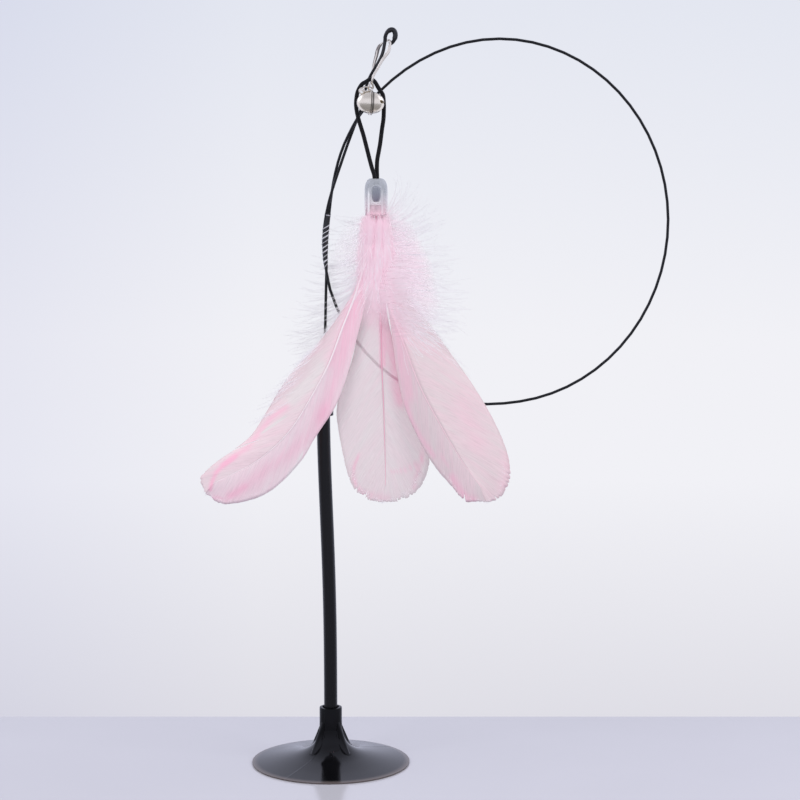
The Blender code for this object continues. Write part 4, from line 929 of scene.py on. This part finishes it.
def makeVane(feather, material):
    shape = bmesh.new()
    uv = shape.loops.layers.uv.new("UVMap")
    segments = vaneSetup["segments"]
    count = vaneSetup["barbs"]
    covers = []
    shadeTones = []
    thin, fade, curve = [vaneSetup[key] for key in ("quillCover", "airyFade", "airyCurve")]
    airySide, airyAmount, airyEnd = feather["airy"]
    for side in (-1, 1):
        rows, cuts, edgeLength = vaneBarbs(feather, side)
        grid = []
        for k, row in enumerate(rows):
            grid.append([shape.verts.new(point) for point in row])
            t = k / (count - 1)
            # it starts thin at the quill, and thins outwards on its airy side
            fadeIn = thin + (1 - thin) * ease(t / feather["fadeIn"])
            thinned = airyAmount * (1 - ease((t - airyEnd) / fade + 1)) if side == airySide else 0
            covers += [feather["cover"] * fadeIn * (1 - thinned * (j / segments) ** curve)
                       for j in range(segments + 1)]
            # each side's share of the greyer, warmer colour: partly its own beige, partly painted shade
            # that evens out how the lamps light the vanes
            shadeTones += [feather["toneAndShade"][0 if side < 0 else 1]] * (segments + 1)
        for k in range(count - 1):
            length = (rows[k][-1] - rows[k][0]).length / mm
            for j in range(segments):
                if k in cuts and j / segments >= cuts[k]:
                    continue
                corners = [(k, j), (k + 1, j), (k + 1, j + 1), (k, j + 1)]
                if side > 0:
                    corners.reverse()
                face = shape.faces.new([grid[row][place] for row, place in corners])
                face.smooth = True
                for loop, (row, place) in zip(face.loops, corners):
                    # each side has streaks of its own
                    along = row / (count - 1) * edgeLength / mm + side * vaneSetup["sideShift"]
                    loop[uv].uv = (along, place / segments * length)
    shape.normal_update()
    if sum(face.normal.y for face in shape.faces) > 0:
        bmesh.ops.reverse_faces(shape, faces=shape.faces)
    data = meshFrom(shape)
    spots = np.empty(len(data.vertices) * 3)
    data.vertices.foreach_get("co", spots)
    addAttribute(data, "pink", brushedPink(feather, spots.reshape(-1, 3)[:, (0, 2)] / mm))
    addAttribute(data, "cover", covers)
    addAttribute(data, "toneAndShade", shadeTones)
    piece = meshPiece(feather["name"] + "_vane", data, material, "lure", "pink_feather", feather["name"])
    step = piece.modifiers.new("Thickness", "SOLIDIFY")
    step.thickness = vaneSetup["thick"] * mm
    step.offset = 0


# down: fine barbs with barbules, by Geometry Nodes

downSetup = {"Barb Radius": 0.085 * mm, "Barbule Length": 1.5 * mm, "Barbule Radius": 0.045 * mm,
             "Barbule Spacing": 0.33 * mm}
downSeed = 7
# Groups of barbs from one share of the shaft to another. Heading in degrees above level and length
# in millimetres go along the group; curl is how far a barb turns up or down on its way.
downGroups = {
    "feather_left": [
        {"count": 175, "from": 0.05, "to": 0.42, "side": -1, "dye": 0.1, "y": (0.9, 1.3), "back": 0.3,
         "level": 1, "heading": [(0, 8), (0.2, -28), (1, -48)],
         "length": [(0, 20), (0.3, 34), (0.7, 44), (1, 30)], "curl": [(0, -8), (0.3, 28), (1, 42)]},
        {"count": 80, "from": 0.03, "to": 0.34, "side": -1, "dye": 0.6, "y": (-0.3, 0.5), "loose": 14,
         "heading": [(0, -14), (1, -56)], "length": [(0, 14), (1, 20)], "curl": [(0, -30), (1, 10)]},
    ],
    "feather_middle": [
        {"count": 60, "from": 0.03, "to": 0.26, "side": -1, "dye": 0.9, "y": (-0.12, 0.1), "spread": 5,
         "front": 8.2, "loose": 16, "heading": [(0, -62), (1, -78)], "length": [(0, 14), (1, 20)],
         "curl": [(0, -12), (1, 0)]},
        {"count": 60, "from": 0.03, "to": 0.26, "side": 1, "dye": 0.9, "y": (-0.12, 0.1), "spread": 5,
         "front": 8.2, "loose": 16, "heading": [(0, -62), (1, -78)], "length": [(0, 14), (1, 20)],
         "curl": [(0, -12), (1, 0)]},
        {"count": 70, "from": 0.04, "to": 0.09, "side": -1, "dye": 0.8, "y": (-0.6, 0.2), "spread": 5.5,
         "front": 5, "heading": [(0, 30), (1, -30)], "length": [(0, 5), (1, 9)],
         "curl": [(0, -70), (1, -40)]},
        {"count": 70, "from": 0.04, "to": 0.09, "side": 1, "dye": 0.8, "y": (-0.6, 0.2), "spread": 5.5,
         "front": 5, "heading": [(0, 40), (1, -20)], "length": [(0, 5), (1, 9)],
         "curl": [(0, -50), (1, -20)]},
        {"count": 60, "from": 0.03, "to": 0.34, "side": 1, "dye": 1, "y": (0.1, 0.6), "spread": 6,
         "front": -3, "heading": [(0, -64), (1, -84)], "length": [(0, 16), (1, 24)],
         "curl": [(0, -18), (1, 0)]},
    ],
    "feather_right": [
        {"count": 270, "from": 0.04, "to": 0.38, "side": 1, "dye": 0.45, "y": (-0.5, 0.35),
         "heading": [(0, 48), (0.12, 18), (0.4, -10), (1, -34)],
         "length": [(0, 26), (0.3, 34), (0.7, 42), (1, 28)], "curl": [(0, 40), (0.4, 4), (1, 24)]},
        {"count": 190, "from": 0.03, "to": 0.4, "side": 1, "dye": 0.75, "y": (-0.3, 0.2), "loose": 14,
         "heading": [(0, -12), (1, -50)], "length": [(0, 16), (1, 28)], "curl": [(0, -30), (1, 10)]},
    ],
}


barbSetup = {"steps": 12, "lengths": (0.72, 1.1), "loose": 8, "curlSpread": 14, "sway": 0.5}


def barbLines(feather):
    rng = random.Random(feather["seed"] * 3 + downSeed)
    route = shaftRoute(feather)
    lines = []
    steps = barbSetup["steps"]
    for group in downGroups[feather["name"]]:
        spread = group.get("spread", 0)
        loose = group.get("loose", barbSetup["loose"])
        for k in range(group["count"]):
            share = (k + rng.random()) / group["count"]
            point = route.at(group["from"] + (group["to"] - group["from"]) * share)
            aside = rng.random() ** 0.8 * spread
            bulge = math.sqrt(max(0, 1 - (aside / (spread + 1.5)) ** 2))
            point += Vector((group["side"] * aside, -group.get("front", 0) * bulge, 0)) * mm
            degrees = blendTable(group["heading"], share) + rng.gauss(0, loose)
            length = blendTable(group["length"], share) * rng.uniform(*barbSetup["lengths"]) * mm
            curl = blendTable(group["curl"], share) + rng.gauss(0, barbSetup["curlSpread"])
            depth = rng.uniform(*group["y"]) + group.get("back", 0) * share
            points = [point]
            angle = math.radians(degrees)
            for step in range(steps):
                sway = noise.noise(Vector((k * 1.7, step * 0.3, group["count"]))) * barbSetup["sway"]
                angle += math.radians(curl) * (step + 1) * 2 / (steps * (steps + 1))
                turn = angle + sway * step / steps
                back = depth * (1 - group.get("level", 0) * step / steps)
                heading = Vector((group["side"] * math.cos(turn), back, math.sin(turn)))
                point = point + heading.normalized() * (length / steps)
                points.append(point)
            lines.append((points, group["dye"]))
    return lines


wispSetup = {"from": 0.12, "start": (0.45, 0.9), "length": (6, 15), "turn": (0.05, 0.5), "steps": 8,
             "dye": 0.1, "fringe": (0.6, 2.2), "fringeLoose": 0.12, "fringeShare": 0.18}


def looseWisps(feather):
    # barbs that have come loose from the upper edge of the vane, and the frayed tip
    s = wispSetup
    rng = random.Random(feather["seed"] * 5)
    side, end = feather["airy"][::2]
    rows = vaneBarbs(feather, side or -1)[0]
    lines = []
    for k in range(feather["wisps"]):
        row = rows[int(rng.uniform(s["from"], end) * (len(rows) - 1))]
        first = int(len(row) * rng.uniform(*s["start"]))
        along = (row[-1] - row[0]).normalized()
        length = rng.uniform(*s["length"]) * mm
        point = row[first]
        points = [point]
        turn = rng.uniform(*s["turn"])
        for step in range(s["steps"]):
            lean = Matrix.Rotation(turn * step / s["steps"], 3, "Y") @ along
            point = point + lean * (length / s["steps"])
            points.append(point)
        lines.append((points, s["dye"]))
    for side in (-1, 1):
        rows = vaneBarbs(feather, side)[0]
        for k in range(feather["fringe"] // 2):
            row = rows[int((1 - s["fringeShare"] * rng.random() ** 1.5) * (len(rows) - 1))]
            along = (row[-1] - row[-4]).normalized()
            along = Matrix.Rotation(rng.gauss(0, s["fringeLoose"]), 3, "Y") @ along
            reach = rng.uniform(*s["fringe"]) * mm
            points = [row[-3] + along * (reach * step / 3 + 0.5 * mm) for step in range(4)]
            lines.append((points, s["dye"]))
    return lines


def barbTree(material):
    tree = bpy.data.node_groups.new("downBarbs", "GeometryNodeTree")
    face = tree.interface
    face.new_socket("Geometry", in_out="INPUT", socket_type="NodeSocketGeometry")
    for label, value in downSetup.items():
        face.new_socket(label, in_out="INPUT", socket_type="NodeSocketFloat").default_value = value
    face.new_socket("Seed", in_out="INPUT", socket_type="NodeSocketInt").default_value = downSeed
    face.new_socket("Geometry", in_out="OUTPUT", socket_type="NodeSocketGeometry")
    add = partial(addNode, tree)
    given = add("NodeGroupInput", out=None)
    fade = add("GeometryNodeInputNamedAttribute", {"Name": "fade"}, data_type="FLOAT")
    curve = add("GeometryNodeMeshToCurve", {"Mesh": given["Geometry"]})
    # a barb is thinner at its end, and its barbules are shorter there
    width = add("Math MULTIPLY", [add("MapRange", [fade, 0, 1, 1, 0.55]), given["Barb Radius"]])
    sized = add("GeometryNodeSetCurveRadius", {"Curve": curve, "Radius": width})
    ring = add("GeometryNodeCurvePrimitiveCircle", {"Resolution": 3, "Radius": 1})
    stems = add("GeometryNodeCurveToMesh", {
        "Curve": sized, "Profile Curve": ring, "Fill Caps": True,
    })
    if "Scale" in stems.node.inputs:
        feed(stems.node, {"Scale": add("GeometryNodeInputRadius")})
    spots = add("GeometryNodeCurveToPoints", {
        "Curve": curve, "Length": given["Barbule Spacing"],
    }, None, mode="LENGTH")
    barbule = add("GeometryNodeMeshCone", {
        "Vertices": 3, "Radius Top": 0, "Radius Bottom": given["Barbule Radius"],
        "Depth": given["Barbule Length"],
    })
    around = add("FunctionNodeRandomValue", {
        2: 0, 3: 2 * math.pi, "Seed": given["Seed"],
    }, 1, data_type="FLOAT")
    # barbules stand out all round the barb, and lean along it
    turned = spots["Rotation"]
    for axis, angle in (((0, 0, 1), around), ((1, 0, 0), math.radians(52))):
        turn = add("FunctionNodeAxisAngleToRotation", {"Axis": axis, "Angle": angle})
        turned = add("FunctionNodeRotateRotation", [turned, turn], rotation_space="LOCAL")
    hairs = add("GeometryNodeInstanceOnPoints", {
        "Points": spots["Points"], "Instance": barbule, "Rotation": turned,
        "Scale": add("MapRange", [fade, 0, 1, 0.9, 0.6]),
    })
    both = add("GeometryNodeJoinGeometry", [stems])
    feed(both.node, [hairs])
    real = add("GeometryNodeRealizeInstances", [both])
    painted = add("GeometryNodeSetMaterial", {"Geometry": real, "Material": material})
    add("NodeGroupOutput", [painted], None)
    return tree


def makeDown(feather, tree, material):
    shape = bmesh.new()
    fadeLayer, dyeLayer = [shape.verts.layers.float.new(name) for name in ("fade", "dye")]
    for points, dye in barbLines(feather) + looseWisps(feather):
        last = None
        for k, point in enumerate(points):
            vert = shape.verts.new(point)
            vert[fadeLayer] = k / (len(points) - 1)
            vert[dyeLayer] = dye
            if last is not None:
                shape.edges.new((last, vert))
            last = vert
    name = feather["name"] + "_down"
    seedItem = addItem(name + "_lines", meshFrom(shape))
    step = seedItem.modifiers.new("Down", "NODES")
    step.node_group = tree
    for item in tree.interface.items_tree:
        if item.in_out == "INPUT" and item.name == "Seed":
            step[item.identifier] = downSeed + feather["seed"]
    bpy.context.view_layer.update()
    data = evaluatedMesh(seedItem)
    bpy.data.objects.remove(seedItem, do_unlink=True)
    piece = meshPiece(name, data, material, "lure", "pink_feather")
    piece.visible_shadow = False
    print(name, "triangles", sum(len(p.vertices) - 2 for p in data.polygons))


# soft bodies: the packed down under the cap, and looser down to both sides of it
softBodies = {
    "down_core": {
        "route": [(23.2, -9.4, 281.7), (23.2, -9.6, 277), (23.4, -10, 268), (23.6, -10.4, 256),
                  (23.4, -10.9, 244), (22.8, -11.4, 232), (22.2, -11.8, 222)],
        "radius": [(0, 7.6), (0.06, 8.8), (0.16, 10.6), (0.38, 13), (0.65, 13), (0.85, 11), (1, 8)],
        "depth": [(0, 0.75), (0.1, 0.62), (0.3, 0.4), (0.6, 0.27), (1, 0.25)],
        "look": {"material": "packed_feather_down", "pink": "#efc6d7", "pale": "#efdfe7", "washed": 0.15,
                 "most": 1, "stretch": (1, 1, 0.09), "scale": 330, "soft": 0.54, "ragged": 0.05,
                 "top": 0.06, "end": 0.97},
    },
    "down_left": {
        "route": [(21, -7.4, 283), (17.6, -5.5, 270), (13.6, -1, 257), (9, 3.4, 243), (4, 4.6, 228)],
        "radius": [(0, 6), (0.25, 12), (0.6, 15), (1, 11)], "depth": [(0, 0.26), (1, 0.26)],
        "look": {"material": "loose_feather_down", "pink": "#f6edf3", "pale": "#ffffff", "washed": 0.8,
                 "most": 0.42, "stretch": (0.14, 1, 1), "scale": 800, "soft": 0.3, "ragged": 0.12,
                 "top": 0.3, "end": 0.8},
    },
    "down_right": {
        "route": [(26, -8.4, 285), (29, -8.6, 272), (32, -9.2, 259), (35.4, -10.4, 246), (40, -12.4, 232),
                  (45, -14, 218)],
        "radius": [(0, 7), (0.2, 14), (0.5, 19), (0.8, 18), (1, 12)], "depth": [(0, 0.26), (1, 0.26)],
        "look": {"material": "dense_feather_down", "pink": "#e3c6d3", "pale": "#eddde6", "washed": 0.6,
                 "most": 0.62, "stretch": (0.14, 1, 1), "scale": 800, "soft": 0.35, "ragged": 0.12,
                 "top": 0.25, "end": 0.96},
    },
}


def makeSoftBody(name):
    s = softBodies[name]
    route = Route(smoothTable(s["route"], 6))
    count = 60
    radii = [radius * mm for radius in sampled(s["radius"], count)]
    data = tubeMesh(route.even(count), radii, 40, sampled(s["depth"], count), depthAxis)
    for loop in data.uv_layers[0].data:
        loop.uv.y *= mm / route.total
    piece = meshPiece(name, data, makeSoftDown(s["look"]), "lure", "pink_feather")
    piece.visible_shadow = False


# stage and light

tableCorners = [(-3, -2.5, 0), (3, -2.5, 0), (3, 0.0877, 0), (-3, 0.0877, 0)]


def makeStage():
    # a glossy table top that ends behind the cup
    material, add, shader, place, colour = startFinish("lacquered_pale_board")
    # painted reflection: black parts mirror the board darker than it is, as if the room in front were dim
    glossy = add("LightPath", out="Is Glossy Ray")
    feed(shader, {"Base Color": add("Mix RGBA", [glossy, colour, "#87878f"])})
    data = bpy.data.meshes.new("table_top")
    data.from_pydata(tableCorners, [], [(0, 1, 2, 3)])
    data.materials.append(material)
    addItem("table_top", data)


studio = {"low": "#dddce4", "horizon": "#f1f1f6", "high": "#e4e7f1", "leftTint": (0.9, 0.905, 0.955, 1),
          "mirrored": "#e3e6fd", "ambient": "#dcdcdf", "softboxes": ((-0.8, 0.36, 0.48), (0.8, 0.36, 0.48))}


def makeWorld():
    # the camera sees a pale gradient; gloss sees a bright backdrop behind and a dim room in front
    world = bpy.data.worlds.new("studio")
    bpy.context.scene.world = world
    world.use_nodes = True
    add = partial(addNode, world.node_tree)
    direction = add("TexCoord", out="Generated")
    x, y, z = add("SeparateXYZ", [direction], None)
    seen = add("Mix RGBA", [add("MapRange", [z, -0.27, -0.16]), studio["low"], studio["horizon"]])
    seen = add("Mix RGBA", [add("MapRange", [z, -0.1, 0.04]), seen, studio["high"]])
    # the backdrop is a little darker and bluer to the left
    left = add("MapRange", [x, -0.165, -0.06, 1, 0])
    shaded = add("Mix RGBA", [left, (1, 1, 1, 1), studio["leftTint"]])
    seen = add("VectorMath MULTIPLY", [seen, shaded])
    # the mirror world
    behind = add("MapRange", [y, -0.3, 0.5, 1, 1.05])
    overhead = add("MapRange", [z, 0.5, 0.85, 1, 0.7])
    level = add("Math MULTIPLY", [behind, overhead])
    # two softboxes to the sides, a little behind the object
    for toward in studio["softboxes"]:
        near = add("VectorMath DOT_PRODUCT", [direction, toward], "Value")
        level = add("Math ADD", [level, add("MapRange", [near, 0.9, 0.98, 0, 1.2])])
    mirrored = add("VectorMath SCALE", {0: fromHex(studio["mirrored"])[:3], "Scale": level})
    path = add("LightPath", out=None)
    plain = add("Mix RGBA", [path["Is Glossy Ray"], studio["ambient"], mirrored])
    view = add("Math MAXIMUM", [path["Is Camera Ray"], path["Is Transmission Ray"]])
    colour = add("Mix RGBA", [view, plain, seen])
    feed(world.node_tree.nodes["Background"], {"Color": colour, "Strength": 1})


# name, place, size and power; both point to the middle of the object
lampSetup = [("key_softbox", (-0.75, -0.75, 1.05), 0.7, 6.8), ("fill_softbox", (0.95, -0.55, 0.75), 0.6, 5)]
lampTarget = Vector((0.02, 0, 0.22))


def makeLamps():
    for name, place, size, power in lampSetup:
        data = bpy.data.lights.new(name, "AREA")
        data.size = size
        data.energy = power
        item = addItem(name, data)
        item.location = place
        item.rotation_euler = (lampTarget - Vector(place)).to_track_quat("-Z", "Y").to_euler()
        item.visible_glossy = False


# everything together

makeCamera()
makeElasticLoop(makeBraid("braided_black_elastic", "#030304", "#0f0e10"))
print("camera and elastic loop done")

makeCup(makeVinyl())
tubePlastic = startFinish("extruded_black_plastic")[0]
dressNode("pole_tube", "pole_sleeve", tubePlastic, "wand", "black_tube", grow=0.12 * mm)
dressNode("tube_end_cap", "pole_collar", tubePlastic, "wand", "black_tube")
wireCoat = startFinish("lacquered_spring_steel")[0]
dressNode("spring_wire", "sprung_wire", wireCoat, "wand", "coated_wire", grow=0.06 * mm, degrees=75)
filmHighlight, filmBand, filmBlack = [startFinish("wound_film_" + part)[0] for part in ("edge", "band", "black")]
makeBinding(filmBlack, filmHighlight, filmBand)
makeEyeSleeve(filmBlack)
print("wand done")

seam, shellShift, peaShift = bellShift()
steel = makeNickel("nickel_plated_wire")
dullSteel = makeNickel("nickel_plated_strip_worn")
bellNickel = makeNickel("nickel_plated_bell", seam)
dressNode("snap_wire", "snap_hook", steel, "snap", "plated_steel", degrees=75)
dressNode("snap_gate", "snap_lever", steel, "gate", "plated_steel", degrees=75)
makeBlade("hook_blade", steel)
makeBlade("gate_blade", dullSteel)
for node, name in (("bell_upper_shell", "bell_top"), ("bell_lower_shell", "bell_bottom")):
    dressNode(node, name, bellNickel, "bell", "plated_bell", degrees=35, shift=shellShift)
dressNode("bell_loop", "bell_eye", steel, "bell", "plated_steel", degrees=75)
dressNode("bell_jump_ring", "bell_split_ring", steel, "bell", "plated_steel", degrees=75)
dressNode("bell_pea", "bell_ball", steel, "pea", "plated_steel", levels=1, shift=peaShift)
print("snap and bell done")

cap = dressNode("lure_cap", "frosted_cap", makeFrosted(), "lure", "frosted_cap", levels=1)
cap.visible_shadow = False
knotLook = makeBraid("braided_elastic_behind_frost", "#0e1c45", "#20305a", hazy=True)
dressNode("cord_knot", "elastic_knot", knotLook, "lure", "black_elastic", levels=1)
dressNode("glue_plug", "glue_fill", makeGlue(), "lure", "clear_glue")
vaneLook = makeVaneMaterial()
downLook = makeDownMaterial()
shaftLook = makeShaftMaterial()
downTree = barbTree(downLook)
for name in softBodies:
    makeSoftBody(name)
for feather in (leftFeather, middleFeather, rightFeather):
    makeVane(feather, vaneLook)
    makeShaft(feather, shaftLook)
    makeDown(feather, downTree, downLook)
print("lure done")

makeStage()
makeWorld()
makeLamps()
bpy.context.scene.view_settings.view_transform = "Standard"
print("stage done")
